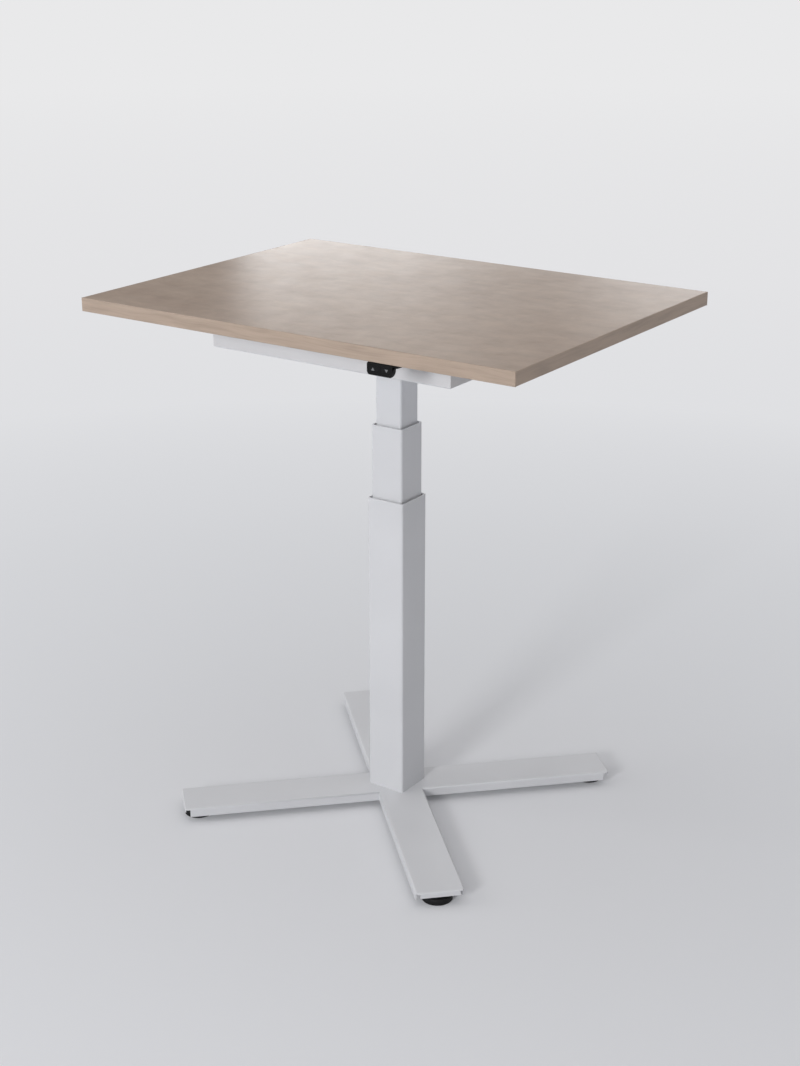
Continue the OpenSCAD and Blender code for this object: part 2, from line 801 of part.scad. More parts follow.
// Lead of the hand switch: along the desktop, through the tray's front wall and over its floor
module switch_lead() {
    color(black) {
        cable([[switch_x, switch_face + switch_depth - 6, lead_high], [switch_x, clip_y + 8, lead_high],
            [switch_x, wall_y - 12, lead_hole_z], [switch_x, wall_y + 14, lead_hole_z],
            [switch_x, wall_y + 40, lead_low], [switch_x, case_y - 36, lead_low],
            [switch_x, case_y - 22, plug_z], [switch_x, case_y - 8, plug_z]], lead_r, 8);
        translate([switch_x - 5.8, case_y - 10, plug_z - 3.8]) cube([11.6, 10 + case_wall, 7.6]);
    }
}

// Saddle clips that hold the hand switch's lead under the desktop and on the tray's floor
module lead_clips() {
    color(white_plastic) {
        translate([switch_x, clip_y, desk_under]) mirror([0, 0, 1]) lead_clip();
        for (y = [-90, 0]) translate([switch_x, y, tray_floor]) lead_clip();
    }
}

module lead_clip() {
    hole = lead_r + 0.25;
    difference() {
        union() {
            translate([-9, -4, 0]) cube([18, 8, 2]);
            translate([-hole - 1.5, -4, 0]) cube([2 * hole + 3, 8, lead_r + 0.3]);
            translate([0, 4, lead_r + 0.3]) rotate([90, 0, 0]) cylinder(h = 8, r = hole + 1.5);
        }
        translate([0, 5, lead_r + 0.3]) rotate([90, 0, 0]) cylinder(h = 10, r = hole);
        translate([-hole, -5, -1]) cube([2 * hole, 10, lead_r + 1.3]);
        translate([-10, -5, -5]) cube([20, 10, 5]);
    }
}

/* Desktop */

module desktop_board() {
    color(wood_face) difference() {
        translate([-desk_length / 2 + band_thick, -desk_depth / 2 + band_thick, desk_under])
            cube([desk_length - 2 * band_thick, desk_depth - 2 * band_thick, desk_thick]);
        for (p = concat(tray_screw_places, switch_screw_places))
            translate([p.x, p.y, 0]) post(2 + play, desk_under - 1, desk_under + 12.5);
    }
}

// Edge band section: flat inside at x = 0, outer edges rounded
module band_section() {
    intersection() {
        square([band_thick, desk_thick]);
        union() {
            square([band_thick - band_round, desk_thick]);
            translate([0, band_round]) square([band_thick, desk_thick - 2 * band_round]);
            for (y = [band_round, desk_thick - band_round])
                translate([band_thick - band_round, y]) circle(band_round);
        }
    }
}

module edge_band(length) {
    translate([0, length / 2, desk_under]) rotate([90, 0, 0]) linear_extrude(length) band_section();
}

module long_edge_bands() {
    color(wood_edge) for (a = [90, -90])
        rotate(a) translate([desk_depth / 2 - band_thick, 0, 0]) edge_band(desk_length);
}

module short_edge_bands() {
    color(wood_edge) for (a = [0, 180])
        rotate(a) translate([desk_length / 2 - band_thick, 0, 0]) edge_band(desk_depth - 2 * band_thick);
}

/* Hand switch */

// Mounting plate, a little wider than the shell
module switch_plate() {
    plate_low = desk_under - plate_thick;
    color(black) difference() {
        translate([switch_x - switch_width / 2 - plate_lip, switch_face + plate_front, plate_low])
            cube([switch_width + 2 * plate_lip, switch_depth - 2 - plate_front, plate_thick]);
        for (p = switch_screw_places) translate([p.x, p.y, 0]) {
            post(2.2, plate_low - 1, desk_under + 1);
            post(4.1, plate_low - 1, plate_low + screw_sink);
        }
        translate([switch_x - lead_r - 0.3, switch_face + switch_depth - 8, plate_low - 1])
            cube([2 * lead_r + 0.6, 9, plate_thick + 2]);
    }
}

// Front outline of the shell, z down from the desktop, rounder at its lower corners than at its upper ones
module switch_front(inset) {
    w = switch_width / 2 - inset;
    low = -switch_height + inset;
    top = -shell_gap - inset;
    r = 6 - inset;
    q = 3 - inset;
    translate([-w, low + r]) square([2 * w, top - q - low - r]);
    translate([-w + r, low]) square([2 * (w - r), r + eps]);
    translate([-w + q, top - q - eps]) square([2 * (w - q), q + eps]);
    for (s = [-1, 1]) {
        translate([s * (w - r), low + r]) circle(r);
        translate([s * (w - q), top - q]) circle(q);
    }
}

// Side outline: y to the back, z down from the desktop. Deep behind the keys, low behind that, and
// open upwards behind its lip, where the mounting plate lies
module switch_side(inset) {
    r = 2.2;
    low = -switch_height;
    step = switch_step - inset;
    back = switch_depth - inset;
    polygon([
        [inset, -plate_thick], [inset, low + r], [r, low + inset],
        [r + (r - inset) * cos(38), low + r - (r - inset) * sin(38)],
        [step - 1.3, -12.7 + inset / 2], [step - 0.3, -10.5 + inset / 4], [step, -8.5],
        [step, -7 + inset], [18, -8 + inset], [back - 2, -8 + inset],
        [back, -6], [back, -plate_thick]
    ]);
    translate([r, low + r]) circle(r - inset);
    if (inset == 0)
        polygon([[0, -plate_thick - eps], [0, -1.8], [1.2, -shell_gap],
            [plate_front - 0.2, -shell_gap], [plate_front - 0.2, -plate_thick - eps]]);
    else
        translate([inset, -plate_thick - eps])
            square([back - inset, plate_thick + eps - shell_gap - inset]);
}

module switch_solid(inset) {
    translate([switch_x, switch_face, desk_under]) intersection() {
        translate([0, switch_depth + 1, 0]) rotate([90, 0, 0])
            linear_extrude(switch_depth + 2) switch_front(inset);
        translate([-switch_width, 0, 0]) rotate([90, 0, 90])
            linear_extrude(2 * switch_width) switch_side(inset);
    }
}

module key_outline(grow) {
    round_rect(key_width + 2 * grow, key_height + 2 * grow, 2.5 + grow);
}

module switch_shell() {
    color(black) difference() {
        switch_solid(0);
        switch_solid(switch_wall);
        for (s = [-1, 1]) translate([switch_x + s * key_x, switch_face - 1, key_z])
            rotate([-90, 0, 0]) linear_extrude(switch_wall + 2) key_outline(0.35);
        translate([switch_x - lead_r - 0.3, switch_face + switch_depth - 4, lead_high - lead_r - 0.3])
            cube([2 * lead_r + 0.6, 6, 8]);
    }
}

// Key with a rim behind the shell's front wall
module key(side) {
    color(black) translate([switch_x + side * key_x, switch_face, key_z]) rotate([-90, 0, 0]) {
        translate([0, 0, 0.15]) linear_extrude(key_reach - 0.15) key_outline(0);
        translate([0, 0, switch_wall + 0.3]) linear_extrude(0.8)
            square([key_width + 1.6, key_height - 1.6], center = true);
        translate([0, 0, key_reach - 0.1]) cylinder(h = key_foot + 0.1 - key_reach, r = 2);
    }
}

module up_key() { key(-1); }
module down_key() { key(1); }

// Board with the two push switches behind the keys, held at its ends by the shell's side walls
module switch_board() {
    reach = key_foot + key_travel;
    color(circuit_green) translate([switch_x, switch_face, desk_under]) {
        translate([-switch_width / 2 + switch_wall, board_front, -10.4])
            cube([switch_width - 2 * switch_wall, board_thick, 6]);
        for (s = [-1, 1]) translate([s * key_x, 0, -8.5]) {
            translate([-2.4, reach + 0.7, -1.8]) cube([4.8, board_front - reach - 0.7, 3.6]);
            rotate([-90, 0, 0]) translate([0, 0, reach + 0.3]) cylinder(h = 0.5, r = 1);
        }
    }
}

leg_front_right();
leg_back_right();
leg_back_left();
leg_front_left();
base_spreader();
column_screws();
foot_nuts();
foot_disc_front_right();
foot_disc_back_right();
foot_disc_back_left();
foot_disc_front_left();
foot_stem_front_right();
foot_stem_back_right();
foot_stem_back_left();
foot_stem_front_left();
outer_tube();
column_foot();
outer_glides();
nut_tube();
lower_nut();
middle_tube();
middle_foot();
middle_low_glides();
middle_top_glides();
carrier_tube();
carrier_head();
upper_nut();
thrust_washer();
lower_spindle();
inner_tube();
inner_glides();
head_plate();
tray_screws();
gearbox_housing();
gearbox_lid();
spindle_bearing();
upper_spindle();
worm_wheel();
worm_shaft();
motor_rotor();
motor_can();
motor_endcap();
tray();
tray_grommet();
wood_screws();
control_case();
control_lid();
control_board();
mains_inlet();
motor_lead();
switch_lead();
lead_clips();
desktop_board();
long_edge_bands();
short_edge_bands();
switch_plate();
switch_shell();
switch_board();
up_key();
down_key();
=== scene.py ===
import json
import math

import bmesh
import bpy
from bpy.props import FloatProperty, IntProperty, PointerProperty, StringProperty
from mathutils import Euler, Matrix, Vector


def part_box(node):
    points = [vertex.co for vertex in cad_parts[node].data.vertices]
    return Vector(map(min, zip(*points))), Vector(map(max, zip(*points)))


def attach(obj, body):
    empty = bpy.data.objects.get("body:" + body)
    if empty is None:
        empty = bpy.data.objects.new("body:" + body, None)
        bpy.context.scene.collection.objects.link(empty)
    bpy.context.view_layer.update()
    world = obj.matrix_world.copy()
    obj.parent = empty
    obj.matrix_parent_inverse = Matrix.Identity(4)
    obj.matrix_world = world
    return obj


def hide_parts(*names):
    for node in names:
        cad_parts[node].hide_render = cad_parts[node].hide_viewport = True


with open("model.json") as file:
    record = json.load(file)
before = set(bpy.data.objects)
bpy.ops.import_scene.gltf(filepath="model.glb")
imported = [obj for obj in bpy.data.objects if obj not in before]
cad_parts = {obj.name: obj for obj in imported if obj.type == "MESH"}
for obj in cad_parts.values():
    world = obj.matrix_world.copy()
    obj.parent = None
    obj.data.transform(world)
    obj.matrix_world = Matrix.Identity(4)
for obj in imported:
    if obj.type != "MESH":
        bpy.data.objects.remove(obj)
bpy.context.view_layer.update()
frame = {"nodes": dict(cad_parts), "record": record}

bl_info = {
    "name": "Electric Standing Desk",
    "version": (1, 0, 0),
    "blender": (4, 5, 0),
    "location": "View3D > Sidebar > Desk",
    "description": "Dresses the frame of a sit-stand desk with its visible pieces, finishes and studio",
    "category": "Object",
}

MM = 0.001
BODY = {node: body for body, nodes in frame["record"]["behaviour"]["bodies"].items() for node in nodes}
SLOT = {part["node"]: part["material_slot"] for part in frame["record"]["subparts"]}

# A noise's values lie mostly between these
SPAN = {"From Min": 0.3, "From Max": 0.7}
# The sockets of a Mix node for colours, whose names repeat
SHARE, UNDER, OVER, MIXED = 0, 6, 7, 2
# Vertices of the frame's meshes that are nearer than this are one point
SAME_POINT = 0.002 * MM


# Settings that a user would change

class DeskFinishes(bpy.types.PropertyGroup):
    """Colours of the desk's finishes, as sRGB hex values"""
    decor: StringProperty(
        name="Decor", description="Main tone of the desktop's wood decor", default="#AE9783")
    band: StringProperty(
        name="Edge bands", description="Main tone of the edge bands", default="#B3A090")
    powder: StringProperty(
        name="Powder coat", description="Colour of the column, base and tray", default="#DCDDE0")
    plastic: StringProperty(
        name="Switch plastic", description="Colour of the hand switch", default="#0D0D0E")
    feet: StringProperty(
        name="Foot plastic", description="Colour of the levelling feet", default="#161617")
    floor: StringProperty(
        name="Floor", description="Colour of the studio floor round the desk", default="#EFF0F3")
    backdrop: StringProperty(
        name="Backdrop", description="Colour of the studio far behind the desk", default="#E9E9EA")


class DeskEdges(bpy.types.PropertyGroup):
    """How far the edges of each kind of piece are rounded"""
    sheet: FloatProperty(
        name="Sheet", description="Cut edges of the folded steel", default=0.5 * MM, unit="LENGTH")
    tube: FloatProperty(
        name="Tubes", description="Sawn rims of the column's tubes", default=0.6 * MM, unit="LENGTH")
    band: FloatProperty(
        name="Bands", description="Upright corners of the edge bands", default=1.5 * MM, unit="LENGTH")
    board: FloatProperty(
        name="Board", description="Edges of the board inside the bands", default=0.12 * MM, unit="LENGTH")
    moulded: FloatProperty(
        name="Mouldings", description="Edges of moulded plastic", default=0.6 * MM, unit="LENGTH")
    cast: FloatProperty(
        name="Castings", description="Edges of the cast gearbox", default=1.0 * MM, unit="LENGTH")


class DeskStudio(bpy.types.PropertyGroup):
    """The studio's lamps and camera, and how finely pieces are turned"""
    key: FloatProperty(
        name="Key", description="Power of the lamp in front", default=138.0, unit="POWER")
    fill: FloatProperty(
        name="Fill", description="Power of the lamp to the left", default=28.0, unit="POWER")
    sheen: FloatProperty(
        name="Sheen", description="Brightness of the panel mirrored in the desktop", default=3.4)
    ambient: FloatProperty(name="Ambient", description="Strength of the even light", default=0.455)
    lens: FloatProperty(name="Lens", description="Focal length on a 36 mm sensor", default=59.93)
    sides: IntProperty(name="Sides", description="Sides of a turned piece", default=96, min=24)


# Nodes and materials

def linear(code):
    """Linear colour of an sRGB hex value."""
    values = [int(code[i:i + 2], 16) / 255 for i in (1, 3, 5)]
    return (*(v / 12.92 if v <= 0.04045 else ((v + 0.055) / 1.055) ** 2.4 for v in values), 1.0)


def shade(code, factor):
    """The sRGB hex value made lighter or darker by a factor."""
    values = [min(255, round(int(code[i:i + 2], 16) * factor)) for i in (1, 3, 5)]
    return "#" + "".join(f"{v:02X}" for v in values)


def add(tree, kind, inputs=None, stops=(), **settings):
    """Adds a node. An input takes a value, a socket, a node or a list of them; a stop is a place and
    a hex value or a grey level."""
    made = tree.nodes.new(kind)
    for name, value in settings.items():
        setattr(made, name, value)
    for name, value in (inputs or {}).items():
        for one in value if isinstance(value, list) else [value]:
            if isinstance(one, bpy.types.Node):
                one = one.outputs[0]
            if isinstance(one, bpy.types.NodeSocket):
                tree.links.new(one, made.inputs[name])
            else:
                made.inputs[name].default_value = one
    for i, (place, tone) in enumerate(stops):
        elements = made.color_ramp.elements
        element = elements[i] if i < len(elements) else elements.new(1.0)
        element.position = place
        element.color = linear(tone) if isinstance(tone, str) else (tone, tone, tone, 1.0)
    return made


def opened(name):
    """A new material with an empty tree, and the piece's own coordinates in it."""
    material = bpy.data.materials.new(name)
    material.use_nodes = True
    tree = material.node_tree
    tree.nodes.clear()
    return material, tree, add(tree, "ShaderNodeTexCoord").outputs["Object"]


def closed(material, inputs):
    """Ends a material's tree in its shader, with the shader's inputs."""
    tree = material.node_tree
    shader = add(tree, "ShaderNodeBsdfPrincipled", inputs)
    add(tree, "ShaderNodeOutputMaterial", {"Surface": shader})
    return material


def finishes():
    """The colours that the user has set."""
    return bpy.context.scene.desk_finishes


def powder_coat():
    """Polyester powder coat baked on steel: an even satin skin with a fine orange peel."""
    material, tree, place = opened("polyester powder coat")
    base = finishes().powder
    cloud = add(tree, "ShaderNodeTexNoise", {"Vector": place, "Scale": 1 / (140 * MM), "Detail": 1.0})
    tone = add(tree, "ShaderNodeValToRGB", {"Fac": cloud},
               [(0.3, shade(base, 0.985)), (0.7, shade(base, 1.01))])
    # real peel is about 0.7 mm across; the second layer is drawn at 2.5 mm so that it shows
    fine = add(tree, "ShaderNodeTexNoise", {"Vector": place, "Scale": 1 / (0.7 * MM), "Detail": 3.0})
    peel = add(tree, "ShaderNodeTexNoise", {"Vector": place, "Scale": 1 / (2.5 * MM)})
    rough = add(tree, "ShaderNodeMapRange", {
        "Value": peel, **SPAN, "To Min": 0.42, "To Max": 0.54})
    waves = add(tree, "ShaderNodeBump", {"Height": peel, "Distance": 0.05 * MM})
    skin = add(tree, "ShaderNodeBump", {"Height": fine, "Distance": 0.02 * MM, "Normal": waves})
    return closed(material, {"Base Color": tone, "Roughness": rough, "Normal": skin, "IOR": 1.5})


def wood_decor():
    """Paper decor of greige oak under melamine resin: a satin face that mirrors lamps softly, with
    soft clouds, and fine fibres and pores along the board's length."""
    material, tree, place = opened("oak decor melamine")
    base = finishes().decor
    sway = add(tree, "ShaderNodeTexNoise", {"Vector": place, "Scale": 1 / (220 * MM)})
    swing = add(tree, "ShaderNodeMapRange", {
        "Value": sway, "From Min": 0.2, "From Max": 0.8, "To Min": -22 * MM, "To Max": 22 * MM})
    bent = add(tree, "ShaderNodeVectorMath", {
        0: place, 1: add(tree, "ShaderNodeCombineXYZ", {"Y": swing})}, operation="ADD")
    drawn = {}
    # real fibres are about 0.5 mm across and pores 0.2 mm; they are drawn coarser so that they show.
    # The ratio is how many times longer a mark is than it is wide
    for name, ratio, size, detail in (("broad", 3, 20 * MM, 4.0), ("fibre", 22, 2.2 * MM, 3.0),
                                      ("pores", 14, 0.9 * MM, 1.0)):
        along = add(tree, "ShaderNodeMapping", {"Vector": bent, "Scale": (1 / ratio, 1, 1)})
        drawn[name] = add(tree, "ShaderNodeTexNoise", {
            "Vector": along, "Scale": 1 / size, "Detail": detail, "Roughness": 0.6})
    cloud = add(tree, "ShaderNodeTexNoise", {
        "Vector": place, "Scale": 1 / (42 * MM), "Detail": 5.0, "Roughness": 0.62, "Distortion": 0.25})
    satin = add(tree, "ShaderNodeTexNoise", {"Vector": bent, "Scale": 1 / (34 * MM), "Detail": 3.0})
    veil = add(tree, "ShaderNodeTexNoise", {"Vector": place, "Scale": 1 / (170 * MM), "Detail": 1.0})
    tone = add(tree, "ShaderNodeValToRGB", {"Fac": drawn["broad"]},
               [(0.30, shade(base, 0.965)), (0.5, base), (0.72, shade(base, 1.03))])
    for pattern, share, stops in (
            (drawn["fibre"], 0.20, [(0.32, "#C9C4BF"), (0.52, "#FFFFFF")]),
            (drawn["pores"], 0.30, [(0.24, "#9A948E"), (0.33, "#FFFFFF")]),
            (cloud, 0.8, [(0.34, "#E6E0DB"), (0.62, "#FFFFFF")]),
            (veil, 0.6, [(0.35, "#F0EBE8"), (0.65, "#FFFFFF")])):
        layer = add(tree, "ShaderNodeValToRGB", {"Fac": pattern}, stops)
        tone = add(tree, "ShaderNodeMix", {SHARE: share, UNDER: tone, OVER: layer}, data_type="RGBA",
                   blend_type="MULTIPLY").outputs[MIXED]
    rough = add(tree, "ShaderNodeMapRange", {
        "Value": satin, **SPAN, "To Min": 0.30, "To Max": 0.345})
    grooves = add(tree, "ShaderNodeBump", {"Height": drawn["fibre"], "Distance": 0.012 * MM})
    skin = add(tree, "ShaderNodeBump", {
        "Height": drawn["pores"], "Distance": 0.02 * MM, "Normal": grooves})
    return closed(material, {"Base Color": tone, "Roughness": rough, "Normal": skin, "IOR": 1.45})


def edge_band(along):
    """ABS edge band printed with layered streaks along its length, the axis X or Y, under matt
    lacquer. A slow sway bends the streaks up and down."""
    material, tree, place = opened(f"printed edge band {along}")
    base = finishes().band
    drawn = {}
    bent = place
    for name, ratio, size, detail in (("sway", 4, 40 * MM, 2.0), ("layers", 16, 6 * MM, 3.0),
                                      ("fibre", 40, 1.6 * MM, 2.0)):
        scale = tuple(1 / ratio if axis == along else 1 for axis in "XYZ")
        drawn[name] = add(tree, "ShaderNodeTexNoise", {
            "Vector": add(tree, "ShaderNodeMapping", {"Vector": bent, "Scale": scale}),
            "Scale": 1 / size, "Detail": detail, "Roughness": 0.55})
        if name == "sway":
            swing = add(tree, "ShaderNodeMapRange", {
                "Value": drawn[name], **SPAN, "To Min": -4 * MM, "To Max": 4 * MM})
            bent = add(tree, "ShaderNodeVectorMath", {
                0: place, 1: add(tree, "ShaderNodeCombineXYZ", {"Z": swing})}, operation="ADD")
    streaks = add(tree, "ShaderNodeValToRGB", {"Fac": drawn["layers"]},
                  [(0.3, shade(base, 0.94)), (0.5, base), (0.72, shade(base, 1.04))])
    fibres = add(tree, "ShaderNodeValToRGB", {"Fac": drawn["fibre"]},
                 [(0.3, "#D2CEC9"), (0.52, "#FFFFFF")])
    tone = add(tree, "ShaderNodeMix", {SHARE: 0.25, UNDER: streaks, OVER: fibres}, data_type="RGBA",
               blend_type="MULTIPLY").outputs[MIXED]
    rough = add(tree, "ShaderNodeMapRange", {
        "Value": drawn["fibre"], **SPAN, "To Min": 0.44, "To Max": 0.56})
    skin = add(tree, "ShaderNodeBump", {"Height": drawn["fibre"], "Distance": 0.02 * MM})
    return closed(material, {"Base Color": tone, "Roughness": rough, "Normal": skin, "IOR": 1.46})


def edge_band_x():
    """The bands along the desktop's front and back."""
    return edge_band("X")


def edge_band_y():
    """The bands along the desktop's ends."""
    return edge_band("Y")


def moulded(name, code, roughness, texture, depth, ior=1.5):
    """Plastic with the fine texture of its mould or die, of the given size and depth, which breaks up
    its reflections."""
    material, tree, place = opened(name)
    speck = add(tree, "ShaderNodeTexNoise", {"Vector": place, "Scale": 1 / texture})
    cloud = add(tree, "ShaderNodeTexNoise", {"Vector": place, "Scale": 1 / (30 * MM)})
    tone = add(tree, "ShaderNodeValToRGB", {"Fac": cloud}, [(0.3, code), (0.7, shade(code, 1.12))])
    rough = add(tree, "ShaderNodeMapRange", {
        "Value": speck, **SPAN, "To Min": roughness - 0.05, "To Max": roughness + 0.07})
    skin = add(tree, "ShaderNodeBump", {"Height": speck, "Distance": depth})
    return closed(material, {"Base Color": tone, "Roughness": rough, "Normal": skin, "IOR": ior})


def black_plastic():
    """Matt black ABS: the texture swallows most of what it would mirror, so its IOR is set low."""
    return moulded("moulded black ABS", finishes().plastic, 0.44, 0.5 * MM, 0.03 * MM, 1.26)


def key_plastic():
    """Black ABS with a finer texture than the shell's, so the keys shine a little more."""
    return moulded("moulded key ABS", shade(finishes().plastic, 1.15), 0.36, 0.4 * MM, 0.01 * MM, 1.26)


def foot_plastic():
    """Injection-moulded nylon: black and matt, with a coarse grain."""
    return moulded("moulded black nylon", finishes().feet, 0.5, 0.9 * MM, 0.05 * MM, 1.3)


def glide_plastic():
    """Injection-moulded acetal: ivory and waxy."""
    return moulded("moulded acetal", "#E6E3DB", 0.38, 0.8 * MM, 0.01 * MM)


def lead_jacket():
    """Extruded soft PVC: nearly black and dull."""
    return moulded("extruded PVC jacket", "#1D1D1E", 0.55, 1.2 * MM, 0.03 * MM)


def key_print():
    """Pad-printed grey ink, a little duller than the key."""
    return moulded("pad-printed ink", "#6A6B6D", 0.6, 0.3 * MM, 0.004 * MM)


def metal(name, code, roughness, size, depth, stretch=(1, 1, 1)):
    """Bare metal whose small marks are of the given size, and are drawn out along an axis whose
    stretch is below 1."""
    material, tree, place = opened(name)
    marks = add(tree, "ShaderNodeTexNoise", {
        "Vector": add(tree, "ShaderNodeMapping", {"Vector": place, "Scale": stretch}),
        "Scale": 1 / size, "Detail": 3.0})
    patches = add(tree, "ShaderNodeTexVoronoi", {"Vector": place, "Scale": 1 / (9 * MM)})
    tone = add(tree, "ShaderNodeValToRGB", {"Fac": patches},
               [(0.0, shade(code, 0.94)), (0.8, shade(code, 1.04))])
    rough = add(tree, "ShaderNodeMapRange", {
        "Value": marks, **SPAN, "To Min": roughness - 0.07, "To Max": roughness + 0.08})
    skin = add(tree, "ShaderNodeBump", {"Height": marks, "Distance": depth})
    return closed(material, {"Base Color": tone, "Roughness": rough, "Normal": skin, "Metallic": 1.0})


def zinc_steel():
    """Zinc-plated steel: pale blue-grey with a faint crystal pattern."""
    return metal("zinc-plated steel", "#B4B8BD", 0.36, 1.2 * MM, 0.02 * MM)


def motor_steel():
    """Deep-drawn can: draw lines run along the motor's axis."""
    return metal("drawn steel can", "#A6A9AD", 0.32, 0.8 * MM, 0.01 * MM, (0.05, 1, 1))


def aluminium():
    """Die-cast aluminium: a sandy, dull skin."""
    return metal("die-cast aluminium", "#BFC1C4", 0.5, 0.9 * MM, 0.06 * MM)


def brass():
    """Turned brass: fine rings from the lathe."""
    return metal("turned brass", "#C9AC6B", 0.3, 0.6 * MM, 0.01 * MM, (1, 1, 6))


def circuit_board():
    """Green solder mask over copper tracks, glossy."""
    material, tree, place = opened("green solder mask")
    tracks = add(tree, "ShaderNodeTexBrick", {
        "Vector": place, "Scale": 60.0, "Color1": linear("#2A6A3C"), "Color2": linear("#255F36"),
        "Mortar": linear("#3F8A52"), "Mortar Size": 0.06})
    smear = add(tree, "ShaderNodeTexNoise", {"Vector": place, "Scale": 1 / (2 * MM)})
    rough = add(tree, "ShaderNodeMapRange", {"Value": smear, **SPAN, "To Min": 0.3, "To Max": 0.4})
    return closed(material, {"Base Color": tracks, "Roughness": rough, "IOR": 1.5, "Coat Weight": 0.6})


MAKERS = {maker.__name__: maker for maker in (
    powder_coat, wood_decor, edge_band_x, edge_band_y, black_plastic, key_plastic, foot_plastic,
    glide_plastic, lead_jacket, key_print, zinc_steel, motor_steel, aluminium, brass, circuit_board)}
MADE = {}


def finish(name):
    """The material for a slot, made the first time that it is asked for."""
    if name not in MADE:
        MADE[name] = MAKERS[name]()
    return MADE[name]


# Meshes

def settle(mesh, name, node, finish_name=None, replaces=None):
    """Makes a finished mesh a piece on the node's body, in the node's finish and in its place. Edges
    that fold by more than 38 degrees stay sharp."""
    mesh.name = name
    piece = bpy.data.objects.new(name, mesh)
    bpy.context.scene.collection.objects.link(piece)
    if not mesh.materials:
        mesh.materials.append(finish(finish_name or SLOT[node]))
    mesh.shade_smooth()
    mesh.set_sharp_from_angle(angle=math.radians(38))
    even = piece.modifiers.new("Even shading on flat faces", "WEIGHTED_NORMAL")
    even.keep_sharp = True
    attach(piece, BODY[node])
    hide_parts(*([node] if replaces is None else replaces))
    return piece


def as_mesh(bm, name):
    """Turns a finished bmesh into a mesh."""
    mesh = bpy.data.meshes.new(name)
    bm.to_mesh(mesh)
    bm.free()
    return mesh


def node_mesh(node):
    """A merged copy of a node's mesh, with the triangles of each flat face joined."""
    bm = bmesh.new()
    bm.from_mesh(frame["nodes"][node].data)
    bmesh.ops.remove_doubles(bm, verts=bm.verts, dist=SAME_POINT)
    bmesh.ops.dissolve_limit(bm, angle_limit=math.radians(0.3), verts=bm.verts, edges=bm.edges)
    bm.normal_update()
    return bm


def eased(node, rounding, shortest=3 * MM, sharper=50):
    """A copy of a node whose sharp edges are rounded: those that fold by more degrees than the least
    angle, and are longer than the shortest."""
    bm = node_mesh(node)
    edges = [e for e in bm.edges if e.is_manifold and e.calc_length() > shortest
             and e.calc_face_angle() > math.radians(sharper)]
    bmesh.ops.bevel(bm, geom=edges, offset=rounding, segments=2, profile=0.5, affect="EDGES",
                    clamp_overlap=True)
    return settle(as_mesh(bm, node), f"{node}_eased", node)


def solids(node):
    """Lowest and highest corner of each separate solid of a node, in a fixed order."""
    bm = bmesh.new()
    bm.from_mesh(frame["nodes"][node].data)
    bmesh.ops.remove_doubles(bm, verts=bm.verts, dist=SAME_POINT)
    left, found = set(bm.verts), []
    while left:
        island = [left.pop()]
        for vertex in island:
            for edge in vertex.link_edges:
                other = edge.other_vert(vertex)
                if other in left:
                    left.remove(other)
                    island.append(other)
        corners = [[pick(v.co[i] for v in island) for i in range(3)] for pick in (min, max)]
        found.append((Vector(corners[0]), Vector(corners[1])))
    bm.free()
    return sorted(found, key=lambda box: [round(c, 5) for corner in box for c in corner])


def loft(bm, rings, loop=False):
    """Skins rings of equally many points, which run anticlockwise seen from the far end."""
    rows = [[bm.verts.new(point) for point in ring] for ring in rings]
    for low, high in zip(rows, rows[1:] + (rows[:1] if loop else [])):
        for i in range(len(low)):
            j = (i + 1) % len(low)
            bm.faces.new((low[i], low[j], high[j], high[i]))
    if not loop:
        bm.faces.new(rows[0][::-1])
        bm.faces.new(rows[-1])


def square_ring(width, corner, z, steps=8):
    """Square with round corners at a height, centred on the column."""
    points = []
    for sx, sy, start in ((1, 1, 0), (-1, 1, 90), (-1, -1, 180), (1, -1, 270)):
        middle = Vector((sx * (width / 2 - corner), sy * (width / 2 - corner), z))
        for i in range(steps + 1):
            turn = math.radians(start + 90 * i / steps)
            points.append(middle + corner * Vector((math.cos(turn), math.sin(turn), 0)))
    return points


def round_ring(radius, z, centre, sides):
    """Circle round an upright axis through the centre, at a height."""
    turns = [2 * math.pi * i / sides for i in range(sides)]
    return [Vector((centre.x + radius * math.cos(t), centre.y + radius * math.sin(t), z)) for t in turns]


def turned(node, profile, centre):
    """A piece turned on a lathe, from pairs of radius and height."""
    sides = bpy.context.scene.desk_studio.sides
    bm = bmesh.new()
    loft(bm, [round_ring(radius, z, centre, sides) for radius, z in profile])
    return settle(as_mesh(bm, node), f"{node}_turned", node)


def arc(centre, radius, start, end, steps=6):
    """Pairs of radius and height along a round corner, angles in degrees."""
    turns = [math.radians(start + (end - start) * i / steps) for i in range(steps + 1)]
    return [(centre[0] + radius * math.cos(t), centre[1] + radius * math.sin(t)) for t in turns]


def threaded(node, radius, pitch, depth, sides=32, rows_per_turn=8):
    """A rod with a rounded helical thread, which fades out over one pitch at each end."""
    low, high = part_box(node)
    centre = (low + high) / 2
    rows = round((high.z - low.z) / pitch * rows_per_turn)
    rings = []
    for row in range(rows + 1):
        z = low.z + (high.z - low.z) * row / rows
        fade = min(1, (z - low.z) / pitch, (high.z - z) / pitch)
        ring = round_ring(radius, z, centre, sides)
        for i, point in enumerate(ring):
            wave = 0.5 - 0.5 * math.cos(2 * math.pi * (z / pitch - i / sides))
            inward = depth * wave * fade / radius
            point.x -= (point.x - centre.x) * inward
            point.y -= (point.y - centre.y) * inward
        rings.append(ring)
    bm = bmesh.new()
    loft(bm, rings)
    return settle(as_mesh(bm, node), f"{node}_threaded", node)


# Trees of geometry nodes for what repeats

